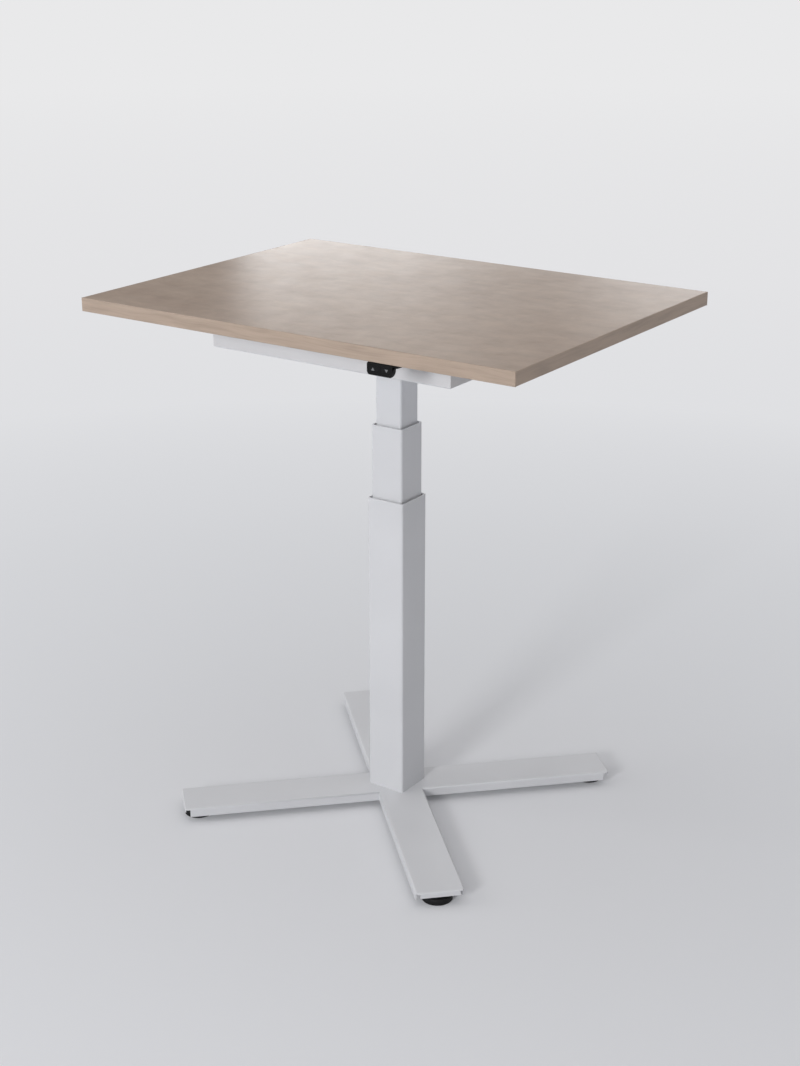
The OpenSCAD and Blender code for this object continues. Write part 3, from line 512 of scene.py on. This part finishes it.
def node_tree(name, numbers):
    """A tree with one input for each number, and one for the material."""
    tree = bpy.data.node_groups.new(name, "GeometryNodeTree")
    face = tree.interface
    face.new_socket("Geometry", in_out="OUTPUT", socket_type="NodeSocketGeometry")
    face.new_socket("Points", in_out="INPUT", socket_type="NodeSocketGeometry")
    for label, value in numbers.items():
        face.new_socket(label, in_out="INPUT", socket_type="NodeSocketFloat").default_value = value
    face.new_socket("Turn", in_out="INPUT", socket_type="NodeSocketVector")
    face.new_socket("Finish", in_out="INPUT", socket_type="NodeSocketMaterial")
    return tree, add(tree, "NodeGroupInput").outputs


def close_tree(tree, given, shape):
    """Sets the shape on every point, and ends in real geometry with its finish."""
    set_out = add(tree, "GeometryNodeInstanceOnPoints", {
        "Points": given["Points"], "Instance": shape, "Rotation": given["Turn"]})
    real = add(tree, "GeometryNodeRealizeInstances", {"Geometry": set_out})
    done = add(tree, "GeometryNodeSetMaterial", {"Geometry": real, "Material": given["Finish"]})
    add(tree, "NodeGroupOutput", {"Geometry": done})


def screw_tree(name, recess):
    """Screw with its head above the seat: a drum whose rim a cone chamfers, a recess, and a shank
    with its thread. The middles are heights of the middle of each part above the seat."""
    tree, given = node_tree(name, screw_sizes(4 * MM, 3 * MM, 2 * MM, 12 * MM, 1 * MM, 1.5 * MM))
    drum = add(tree, "GeometryNodeTransform", {
        "Geometry": add(tree, "GeometryNodeMeshCylinder", {
            "Vertices": 32, "Radius": given["Head radius"], "Depth": given["Head height"]}),
        "Translation": add(tree, "ShaderNodeCombineXYZ", {"Z": given["Head middle"]})})
    cone = add(tree, "GeometryNodeTransform", {
        "Geometry": add(tree, "GeometryNodeMeshCone", {
            "Vertices": 32, "Radius Top": given["Cone top radius"],
            "Radius Bottom": given["Cone base radius"], "Depth": given["Cone height"]}),
        "Translation": add(tree, "ShaderNodeCombineXYZ", {"Z": given["Cone base"]})})
    head = add(tree, "GeometryNodeMeshBoolean", {"Mesh": [drum, cone]}, operation="INTERSECT")
    if recess == "hex":
        tools = [add(tree, "GeometryNodeMeshCylinder", {
            "Vertices": 6, "Radius": given["Recess radius"], "Depth": given["Recess depth"]})]
    else:
        slots = [{"X": given["Recess length"], "Y": given["Recess width"], "Z": given["Recess depth"]},
                 {"X": given["Recess width"], "Y": given["Recess length"], "Z": given["Deep recess"]}]
        tools = [add(tree, "GeometryNodeMeshCube", {"Size": add(tree, "ShaderNodeCombineXYZ", slot)})
                 for slot in slots]
    rise = add(tree, "ShaderNodeCombineXYZ", {"Z": given["Recess middle"]})
    head = add(tree, "GeometryNodeMeshBoolean", {"Mesh 1": head, "Mesh 2": [
        add(tree, "GeometryNodeTransform", {"Geometry": tool, "Translation": rise}) for tool in tools]},
        operation="DIFFERENCE")
    shank = add(tree, "GeometryNodeTransform", {
        "Geometry": add(tree, "GeometryNodeMeshCylinder", {
            "Vertices": 20, "Radius": given["Core radius"], "Depth": given["Shank length"]}),
        "Translation": add(tree, "ShaderNodeCombineXYZ", {"Z": given["Shank middle"]})})
    spiral = add(tree, "GeometryNodeCurveSpiral", {
        "Resolution": 14, "Rotations": given["Thread turns"], "Start Radius": given["Core radius"],
        "End Radius": given["Core radius"], "Height": given["Thread length"]})
    section = add(tree, "GeometryNodeCurvePrimitiveCircle", {
        "Resolution": 4, "Radius": given["Thread depth"]})
    ridge = add(tree, "GeometryNodeTransform", {
        "Geometry": add(tree, "GeometryNodeCurveToMesh", {
            "Curve": spiral, "Profile Curve": section, "Fill Caps": True}),
        "Translation": add(tree, "ShaderNodeCombineXYZ", {"Z": given["Thread start"]})})
    close_tree(tree, given, add(tree, "GeometryNodeJoinGeometry", {"Geometry": [head, shank, ridge]}))
    return tree


def screw_sizes(head_radius, head_height, shank_radius, shank_length, pitch, recess_radius):
    """The screw tree's inputs, worked out from the sizes that a screw is known by. The cone runs half
    a head past the drum at each end, and a cross has one deeper slot, so that no faces that meet in
    a cut lie in one plane."""
    crown, core = head_radius - 0.3 * head_height, 0.84 * shank_radius
    turns = shank_length / pitch - 1
    return {
        "Head radius": head_radius, "Head height": head_height, "Head middle": head_height / 2,
        "Cone base": -head_height / 2, "Cone height": 2 * head_height,
        "Cone base radius": crown + 1.5 * head_height, "Cone top radius": crown - 0.5 * head_height,
        "Recess radius": recess_radius, "Recess length": 2 * recess_radius,
        "Recess width": 0.45 * recess_radius, "Recess middle": 0.76 * head_height,
        "Recess depth": 0.6 * head_height, "Deep recess": 0.66 * head_height,
        "Core radius": core, "Shank length": shank_length, "Shank middle": -shank_length / 2,
        "Thread turns": turns, "Thread length": turns * pitch, "Thread depth": shank_radius - core,
        "Thread start": pitch / 2 - shank_length}


def nut_tree():
    """Hexagon nut with chamfered corners and its threaded hole, seated on its lower face."""
    tree, given = node_tree("Hexagon nuts", nut_sizes(5.7 * MM, 4 * MM, 3 * MM))
    half = add(tree, "ShaderNodeCombineXYZ", {"Z": given["Middle"]})
    block = add(tree, "GeometryNodeTransform", {"Translation": half, "Geometry": add(
        tree, "GeometryNodeMeshCylinder", {
            "Vertices": 6, "Radius": given["Radius"], "Depth": given["Height"]})})
    cone = add(tree, "GeometryNodeTransform", {
        "Geometry": add(tree, "GeometryNodeMeshCone", {
            "Vertices": 48, "Radius Top": given["Upper radius"], "Radius Bottom": given["Lower radius"],
            "Depth": given["Cutter length"]}),
        "Translation": add(tree, "ShaderNodeCombineXYZ", {"Z": given["Cone base"]})})
    hole = add(tree, "GeometryNodeTransform", {"Translation": half, "Geometry": add(
        tree, "GeometryNodeMeshCylinder", {
            "Vertices": 32, "Radius": given["Bore"], "Depth": given["Cutter length"]})})
    cornered = add(tree, "GeometryNodeMeshBoolean", {"Mesh": [block, cone]}, operation="INTERSECT")
    close_tree(tree, given, add(tree, "GeometryNodeMeshBoolean", {
        "Mesh 1": cornered, "Mesh 2": hole}, operation="DIFFERENCE"))
    return tree


def nut_sizes(radius, height, bore):
    """The nut tree's inputs, worked out from the nut's own sizes. The cone that cuts the corners and
    the bore are twice the nut's height, so that no faces lie in one plane."""
    return {"Radius": radius, "Height": height, "Middle": height / 2, "Bore": bore,
            "Cutter length": 2 * height, "Cone base": -height / 2,
            "Upper radius": 0.615 * radius, "Lower radius": 1.595 * radius}


def grow(tree, points, finish_name, values):
    """Runs a tree on points and returns the plain mesh that it makes."""
    seed = bpy.data.meshes.new("points")
    seed.from_pydata(points, [], [])
    holder = bpy.data.objects.new("points", seed)
    bpy.context.scene.collection.objects.link(holder)
    modifier = holder.modifiers.new("Build", "NODES")
    modifier.node_group = tree
    values = {**values, "Finish": finish(finish_name)}
    for item in tree.interface.items_tree:
        if item.item_type == "SOCKET" and item.in_out == "INPUT" and item.name in values:
            modifier[item.identifier] = values[item.name]
    graph = bpy.context.evaluated_depsgraph_get()
    mesh = bpy.data.meshes.new_from_object(holder.evaluated_get(graph))
    bpy.data.objects.remove(holder)
    return mesh


def joined(meshes, name):
    """One mesh of several that share a finish."""
    bm = bmesh.new()
    for mesh in meshes:
        bm.from_mesh(mesh)
    made = as_mesh(bm, name)
    for material in meshes[0].materials:
        made.materials.append(material)
    return made


# Pieces

class DESK_OT_desktop(bpy.types.Operator):
    """Makes the board and its edge bands"""
    bl_idname = "desk.desktop"
    bl_label = "Desktop"

    def execute(self, context):
        edges = context.scene.desk_edges
        eased("desktop_board", edges.board)
        for node, finish_name, ends in (("long_edge_bands", "edge_band_x", True),
                                        ("short_edge_bands", "edge_band_y", False)):
            bm = bmesh.new()
            for low, high in solids(node):
                self.band(bm, low, high, edges.band, ends)
            settle(as_mesh(bm, node), f"{node}_rounded", node, finish_name)
        return {"FINISHED"}

    def band(self, bm, low, high, rounding, ends):
        """One strip with its outer edges rounded, also the upright ones at its ends if it forms the
        desktop's corners."""
        size, middle = high - low, (low + high) / 2
        made = bmesh.ops.create_cube(bm, size=1)["verts"]
        for vertex in made:
            vertex.co = middle + Vector(c * s for c, s in zip(vertex.co, size))
        across = 1 if size.x > size.y else 0
        outer = high[across] if middle[across] > 0 else low[across]
        edges = [e for e in bm.edges if e.verts[0] in made
                 and all(abs(v.co[across] - outer) < 0.01 * MM for v in e.verts)]
        if not ends:
            edges = [e for e in edges if abs(e.verts[0].co.z - e.verts[1].co.z) < MM]
        bmesh.ops.bevel(bm, geom=edges, offset=rounding, segments=5, profile=0.5, affect="EDGES")


class DESK_OT_base(bpy.types.Operator):
    """Makes the four folded legs and the plate under them"""
    bl_idname = "desk.base"
    bl_label = "Base"

    def execute(self, context):
        edges = context.scene.desk_edges
        for node in ("leg_front_right", "leg_back_right", "leg_back_left", "leg_front_left",
                     "base_spreader"):
            eased(node, edges.sheet)
        return {"FINISHED"}


class DESK_OT_feet(bpy.types.Operator):
    """Makes the levelling feet, their threaded stems and the welded nuts"""
    bl_idname = "desk.feet"
    bl_label = "Feet"

    def execute(self, context):
        for corner in ("front_right", "back_right", "back_left", "front_left"):
            low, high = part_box(f"foot_disc_{corner}")
            radius = (high.x - low.x) / 2
            boss = radius * 0.36
            shoulder = high.z - 2.6 * MM
            # from the middle of the underside round the rim, up the dome and the boss
            profile = [(0.5 * MM, low.z), (radius - 4 * MM, low.z)]
            profile += arc((radius - 1.6 * MM, low.z + 1.6 * MM), 1.6 * MM, -90, 0)
            profile += arc((radius - 4 * MM, shoulder - 4.4 * MM), 4 * MM, 0, 72)
            profile += [(radius - 8 * MM, shoulder + 0.2 * MM), (boss + 2 * MM, shoulder + 1.2 * MM)]
            profile += arc((boss + 1.2 * MM, shoulder + 2.2 * MM), 1.2 * MM, -90, -180, 4)
            profile += arc((boss - 0.5 * MM, high.z - 0.5 * MM), 0.5 * MM, 0, 90, 3)
            profile += [(0.5 * MM, high.z)]
            turned(f"foot_disc_{corner}", profile, (low + high) / 2)
            low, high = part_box(f"foot_stem_{corner}")
            threaded(f"foot_stem_{corner}", (high.x - low.x) / 2, pitch=1.25 * MM, depth=0.6 * MM)
        eased("foot_nuts", 0.4 * MM, shortest=0.2 * MM)
        return {"FINISHED"}


class DESK_OT_column(bpy.types.Operator):
    """Makes the column's three tubes"""
    bl_idname = "desk.column"
    bl_label = "Column"

    def execute(self, context):
        ease = context.scene.desk_edges.tube
        wall = 2 * MM
        corner = 3.5 * MM
        for node in ("outer_tube", "middle_tube", "inner_tube"):
            low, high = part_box(node)
            width = high.x - low.x
            # the wall's cut, as pairs of depth from the outside and height
            section = [(0, low.z)]
            section += [(ease - x, high.z - ease + z) for x, z in arc((0, 0), ease, 0, 90, 4)]
            section += [(wall - ease + x, high.z - ease + z) for x, z in arc((0, 0), ease, 90, 0, 4)]
            section += [(wall, low.z)]
            bm = bmesh.new()
            loft(bm, [square_ring(width - 2 * inset, corner - inset, z) for inset, z in section], loop=True)
            settle(as_mesh(bm, node), f"{node}_drawn", node)
        return {"FINISHED"}


class DESK_OT_glides(bpy.types.Operator):
    """Makes the glide pads between the tubes"""
    bl_idname = "desk.glides"
    bl_label = "Glides"

    def execute(self, context):
        for node in ("outer_glides", "middle_low_glides", "middle_top_glides", "inner_glides"):
            eased(node, 0.3 * MM, shortest=2 * MM)
        return {"FINISHED"}


class DESK_OT_lift(bpy.types.Operator):
    """Makes the spindles, nuts and tubes inside the column"""
    bl_idname = "desk.lift"
    bl_label = "Lift"

    def execute(self, context):
        edges = context.scene.desk_edges
        for node in ("column_foot", "nut_tube", "lower_nut", "middle_foot", "carrier_tube", "carrier_head",
                     "upper_nut", "thrust_washer", "lower_spindle", "upper_spindle"):
            eased(node, edges.sheet, shortest=2 * MM)
        return {"FINISHED"}


class DESK_OT_drive(bpy.types.Operator):
    """Makes the gearbox, its gears and the motor"""
    bl_idname = "desk.drive"
    bl_label = "Drive"

    def execute(self, context):
        edges = context.scene.desk_edges
        for node in ("gearbox_housing", "gearbox_lid"):
            eased(node, edges.cast)
        for node in ("head_plate", "motor_can", "motor_endcap", "motor_rotor", "spindle_bearing",
                     "worm_wheel", "worm_shaft"):
            eased(node, edges.sheet)
        return {"FINISHED"}


class DESK_OT_tray(bpy.types.Operator):
    """Makes the tray with its grommet"""
    bl_idname = "desk.tray"
    bl_label = "Tray"

    def execute(self, context):
        edges = context.scene.desk_edges
        eased("tray", edges.sheet)
        eased("tray_grommet", 0.4 * MM, shortest=0.2 * MM)
        return {"FINISHED"}


class DESK_OT_electrics(bpy.types.Operator):
    """Makes the control box with its inlet, the leads and their clips"""
    bl_idname = "desk.electrics"
    bl_label = "Electrics"

    def execute(self, context):
        edges = context.scene.desk_edges
        for node in ("control_case", "control_lid", "mains_inlet", "control_board", "lead_clips"):
            eased(node, edges.moulded)
        for node in ("motor_lead", "switch_lead"):
            eased(node, 0.1 * MM)
        return {"FINISHED"}


class DESK_OT_hand_switch(bpy.types.Operator):
    """Makes the hand switch: shell, plate, board, keys and the arrows on them"""
    bl_idname = "desk.hand_switch"
    bl_label = "Hand switch"

    def execute(self, context):
        edges = context.scene.desk_edges
        eased("switch_shell", edges.moulded, sharper=40)
        eased("switch_plate", edges.moulded * 0.6)
        eased("switch_board", 0.2 * MM)
        for node, points_up in (("up_key", True), ("down_key", False)):
            eased(node, edges.moulded * 0.6, shortest=1.5 * MM)
            self.arrow(node, points_up)
        return {"FINISHED"}

    def arrow(self, node, points_up):
        """A printed triangle, a hair proud of the key's face and a little outside its middle."""
        low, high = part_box(node)
        way = 1 if points_up else -1
        middle = (low + high) / 2 - Vector((way * 1.5 * MM, 0, 0))
        half, tall, thick = 2.9 * MM, 4.6 * MM, 0.06 * MM
        corners = [(-half, -tall / 2), (half, -tall / 2), (0, tall / 2)]
        bm = bmesh.new()
        rows = [[bm.verts.new((middle.x + x, y, middle.z + way * z)) for x, z in corners[::way]]
                for y in (low.y, low.y - thick)]
        bm.faces.new(rows[0][::-1])
        bm.faces.new(rows[1])
        for i in range(3):
            j = (i + 1) % 3
            bm.faces.new((rows[0][i], rows[0][j], rows[1][j], rows[1][i]))
        bmesh.ops.recalc_face_normals(bm, faces=bm.faces)
        settle(as_mesh(bm, node), f"{node}_arrow", node, "key_print", replaces=())


class DESK_OT_fasteners(bpy.types.Operator):
    """Makes every screw and nut where the frame has one"""
    bl_idname = "desk.fasteners"
    bl_label = "Fasteners"

    # widths over which one of the tray's fasteners is a nut, a clamping screw or a gearbox screw;
    # the narrower ones hold the control box
    NUT, CLAMPING, GEARBOX = 11 * MM, 10 * MM, 6.5 * MM
    FLIPPED = Euler((math.pi, 0, 0))

    def execute(self, context):
        cross = screw_tree("Cross-head screws", "cross")
        socket = screw_tree("Socket screws", "hex")
        self.row_of_screws("wood_screws", cross, 3.8 * MM, 2.6 * MM, 2 * MM, 1.4 * MM, 2.2 * MM)
        self.row_of_screws("column_screws", socket, 6.5 * MM, 5 * MM, 4 * MM, 1.25 * MM, 2.9 * MM)
        self.tray_screws(cross, socket, nut_tree())
        return {"FINISHED"}

    def row_of_screws(self, node, tree, head_radius, head, shank_radius, pitch, recess_radius):
        """Screws of one kind, driven in from below."""
        boxes = solids(node)
        seats = [((low.x + high.x) / 2, (low.y + high.y) / 2, low.z + head) for low, high in boxes]
        length = boxes[0][1].z - boxes[0][0].z - head
        sizes = screw_sizes(head_radius, head, shank_radius, length, pitch, recess_radius)
        settle(grow(tree, seats, SLOT[node], {**sizes, "Turn": self.FLIPPED}), f"{node}_turned", node)

    def tray_screws(self, cross, socket, nuts):
        """The nuts and the three kinds of screw that hold the tray, the gearbox and the box."""
        node, made = "tray_screws", []
        for low, high in solids(node):
            tall, wide = high.z - low.z, high.x - low.x
            centre = ((low.x + high.x) / 2, (low.y + high.y) / 2)
            if wide > self.NUT:
                seat, tree, values = low.z, nuts, nut_sizes(wide / 2, tall, 3 * MM)
            elif wide > self.CLAMPING:
                seat, tree = high.z - 5 * MM, socket
                values = screw_sizes(wide / 2, 5 * MM, 3 * MM, tall - 5 * MM, 1 * MM, 2.9 * MM)
            elif wide > self.GEARBOX:
                seat, tree = high.z - 3 * MM, socket
                values = screw_sizes(wide / 2, 3 * MM, 2 * MM, tall - 3 * MM, 1 * MM, 1.5 * MM)
            else:
                seat, tree = low.z + 1.8 * MM, cross
                values = screw_sizes(wide / 2, 1.8 * MM, 1.5 * MM, tall - 1.8 * MM, 1.1 * MM, 1.6 * MM)
                values["Turn"] = self.FLIPPED
            made.append(grow(tree, [(*centre, seat)], SLOT[node], values))
        settle(joined(made, node), f"{node}_turned", node)


class DESK_OT_stage(bpy.types.Operator):
    """Makes the studio: camera, floor, world and lamps"""
    bl_idname = "desk.stage"
    bl_label = "Stage"

    # places in metres, and the directions that the camera looks in
    EYE = (1.5803, -2.2938, 1.5129)
    AZIMUTH, ELEVATION = math.radians(34.462), math.radians(20.159)
    KEY, FILL = Vector((0.63, -5.97, 2.42)), Vector((-3.4, -2.45, 1.9))
    TARGET = Vector((0, 0, 0.5))
    NEAR_FLOOR = (0.25, -0.35, 0)

    def execute(self, context):
        studio = context.scene.desk_studio
        self.camera(context, studio)
        self.floor()
        self.world(context, studio)
        self.sheen(studio)
        self.lamp("key", self.KEY, 1.2, 1.2, studio.key)
        self.lamp("fill", self.FILL, 2.4, 2.0, studio.fill)
        return {"FINISHED"}

    def camera(self, context, studio):
        """The photograph's viewpoint, worked out from the desk's own edges."""
        data = bpy.data.cameras.new("camera")
        data.lens = studio.lens
        data.sensor_width = 36
        eye = bpy.data.objects.new("camera", data)
        eye.location = self.EYE
        forward = Vector((-math.sin(self.AZIMUTH) * math.cos(self.ELEVATION),
                          math.cos(self.AZIMUTH) * math.cos(self.ELEVATION),
                          -math.sin(self.ELEVATION)))
        eye.rotation_euler = forward.to_track_quat("-Z", "Y").to_euler()
        context.scene.collection.objects.link(eye)
        context.scene.camera = eye
        context.scene.view_settings.view_transform = "Standard"

    def seen(self, tree):
        """One where a ray comes from the camera, a mirror or a glass, otherwise zero."""
        path = add(tree, "ShaderNodeLightPath").outputs
        mirrored = add(tree, "ShaderNodeMath", {
            0: path["Is Glossy Ray"], 1: path["Is Transmission Ray"]}, operation="MAXIMUM")
        return add(tree, "ShaderNodeMath", {0: mirrored, 1: path["Is Camera Ray"]}, operation="MAXIMUM")

    def floor(self):
        """A matt floor that pales with the distance from the desk into the backdrop."""
        bpy.ops.mesh.primitive_plane_add(size=120, location=(0, 0, 0))
        plane = bpy.context.object
        plane.name = "studio_floor"
        material, tree, place = opened("studio floor")
        away = add(tree, "ShaderNodeVectorMath", {0: place, 1: self.NEAR_FLOOR},
                   operation="DISTANCE").outputs["Value"]
        far = add(tree, "ShaderNodeMapRange", {"Value": away, "From Max": 12.0})
        pale = add(tree, "ShaderNodeValToRGB", {"Fac": far}, [
            (0.0, "#CFD0D3"), (0.08, "#D5D7DA"), (0.17, "#DDDEE1"), (0.4, "#E3E3E5"),
            (1.0, finishes().backdrop)])
        matt = add(tree, "ShaderNodeBsdfDiffuse", {"Color": linear(finishes().floor)})
        glow = add(tree, "ShaderNodeEmission", {"Color": pale})
        fade = add(tree, "ShaderNodeMapRange", {
            "Value": away, "From Min": 0.6, "From Max": 3.0, "To Min": 0.1, "To Max": 1.0})
        share = add(tree, "ShaderNodeMath", {0: fade, 1: self.seen(tree)}, operation="MULTIPLY")
        mixed = add(tree, "ShaderNodeMixShader", {0: share, 1: matt, 2: glow})
        add(tree, "ShaderNodeOutputMaterial", {"Surface": mixed})
        plane.data.materials.append(material)

    def world(self, context, studio):
        """Even light that grows towards the zenith; the camera sees the backdrop's colour instead."""
        world = bpy.data.worlds.new("studio")
        world.use_nodes = True
        tree = world.node_tree
        tree.nodes.clear()
        aim = add(tree, "ShaderNodeTexCoord").outputs["Generated"]
        height = add(tree, "ShaderNodeSeparateXYZ", {"Vector": aim}).outputs["Z"]
        over = add(tree, "ShaderNodeMapRange", {
            "Value": height, "From Min": 0.1, "From Max": 0.9, "To Min": 0.2 * studio.ambient,
            "To Max": 1.6 * studio.ambient})
        even = add(tree, "ShaderNodeBackground", {"Color": linear("#FCFCFE"), "Strength": over})
        # what gloss sees: the pale backdrop, a darker gap over it, and the softbox overhead
        mirrored = add(tree, "ShaderNodeValToRGB", {"Fac": height}, [
            (0.0, finishes().backdrop), (0.08, "#B0B0B2"), (0.16, "#7C7C7E"), (0.28, "#868688"),
            (0.36, "#FCFCFD"), (0.5, "#FFFFFF"), (1.0, "#F4F4F4")])
        direct = add(tree, "ShaderNodeLightPath").outputs["Is Camera Ray"]
        shown = add(tree, "ShaderNodeMix", {
            SHARE: direct, UNDER: mirrored, OVER: linear(finishes().backdrop)},
            data_type="RGBA").outputs[MIXED]
        pale = add(tree, "ShaderNodeBackground", {"Color": shown, "Strength": 1.0})
        mixed = add(tree, "ShaderNodeMixShader", {0: self.seen(tree), 1: even, 2: pale})
        add(tree, "ShaderNodeOutputWorld", {"Surface": mixed})
        context.scene.world = world

    def sheen(self, studio):
        """A softly lit panel behind the desk, which only gloss sees: the desktop mirrors it towards
        the camera. Its light falls off upwards, and has a gap right of the middle."""
        width, height, behind, aside, above = 1.44, 0.50, 1.3, 0.33, 1.12
        turn = math.radians(35)
        ahead = Vector((-math.sin(turn), math.cos(turn), 0))
        right = Vector((math.cos(turn), math.sin(turn), 0))
        middle = ahead * behind + right * aside + Vector((0, 0, above))
        bpy.ops.mesh.primitive_plane_add(size=1, location=middle, rotation=(math.radians(90), 0, turn))
        panel = bpy.context.object
        panel.name = "sheen_panel"
        panel.scale = (width, height, 1)
        material, tree, place = opened("sheen panel")
        axes = add(tree, "ShaderNodeSeparateXYZ", {"Vector": place}).outputs
        ends = {"From Min": -0.5, "From Max": 0.5}
        across = add(tree, "ShaderNodeMapRange", {"Value": axes["X"], **ends})
        upward = add(tree, "ShaderNodeMapRange", {"Value": axes["Y"], **ends})
        sides = add(tree, "ShaderNodeValToRGB", {"Fac": across}, [
            (0.0, 0.0), (0.06, 1.0), (0.14, 0.86), (0.31, 0.74), (0.39, 0.5), (0.47, 0.32), (0.55, 0.3),
            (0.62, 0.6), (0.71, 1.0), (0.9, 1.0), (1.0, 0.0)])
        rise = add(tree, "ShaderNodeValToRGB", {"Fac": upward}, [
            (0.0, 1.0), (0.4, 0.97), (0.48, 0.84), (0.56, 0.62), (0.64, 0.4), (0.72, 0.22),
            (0.8, 0.1), (1.0, 0.0)])
        strength = add(tree, "ShaderNodeMath", {0: sides, 1: rise}, operation="MULTIPLY")
        level = add(tree, "ShaderNodeMath", {0: strength, 1: studio.sheen}, operation="MULTIPLY")
        glow = add(tree, "ShaderNodeEmission", {"Strength": level})
        lit = add(tree, "ShaderNodeAddShader", {0: glow, 1: add(tree, "ShaderNodeBsdfTransparent")})
        add(tree, "ShaderNodeOutputMaterial", {"Surface": lit})
        panel.data.materials.append(material)
        panel.visible_camera = panel.visible_diffuse = panel.visible_shadow = False

    def lamp(self, name, place, width, height, power):
        """A softbox that is turned to the desk's middle and hidden from the camera."""
        data = bpy.data.lights.new(name, "AREA")
        data.shape = "RECTANGLE"
        data.size, data.size_y = width, height
        data.energy = power
        lamp = bpy.data.objects.new(name, data)
        lamp.location = place
        lamp.rotation_euler = (self.TARGET - place).to_track_quat("-Z", "Y").to_euler()
        lamp.visible_camera = False
        bpy.context.scene.collection.objects.link(lamp)


class DESK_PT_panel(bpy.types.Panel):
    """Lists the desk's settings and the steps that make it"""
    bl_label = "Electric Standing Desk"
    bl_idname = "DESK_PT_panel"
    bl_space_type = "VIEW_3D"
    bl_region_type = "UI"
    bl_category = "Desk"

    def draw(self, context):
        for group_name, group in GROUPS.items():
            box = self.layout.box()
            for name in group.__annotations__:
                box.prop(getattr(context.scene, group_name), name)
        for step in STEPS:
            self.layout.operator(step.bl_idname)


GROUPS = {"desk_finishes": DeskFinishes, "desk_edges": DeskEdges, "desk_studio": DeskStudio}
STEPS = [
    DESK_OT_stage, DESK_OT_desktop, DESK_OT_base, DESK_OT_feet, DESK_OT_column, DESK_OT_glides,
    DESK_OT_lift, DESK_OT_drive, DESK_OT_tray, DESK_OT_electrics, DESK_OT_hand_switch, DESK_OT_fasteners,
]


def register():
    for group in GROUPS.values():
        bpy.utils.register_class(group)
    for step in STEPS:
        bpy.utils.register_class(step)
    bpy.utils.register_class(DESK_PT_panel)
    for name, group in GROUPS.items():
        setattr(bpy.types.Scene, name, PointerProperty(type=group))


def unregister():
    for name in GROUPS:
        delattr(bpy.types.Scene, name)
    bpy.utils.unregister_class(DESK_PT_panel)
    for step in reversed(STEPS):
        bpy.utils.unregister_class(step)
    for group in GROUPS.values():
        bpy.utils.unregister_class(group)


def main():
    """Makes the whole desk in its studio."""
    register()
    for step in STEPS:
        group, action = step.bl_idname.split(".")
        getattr(getattr(bpy.ops, group), action)()


if __name__ == "__main__":
    main()
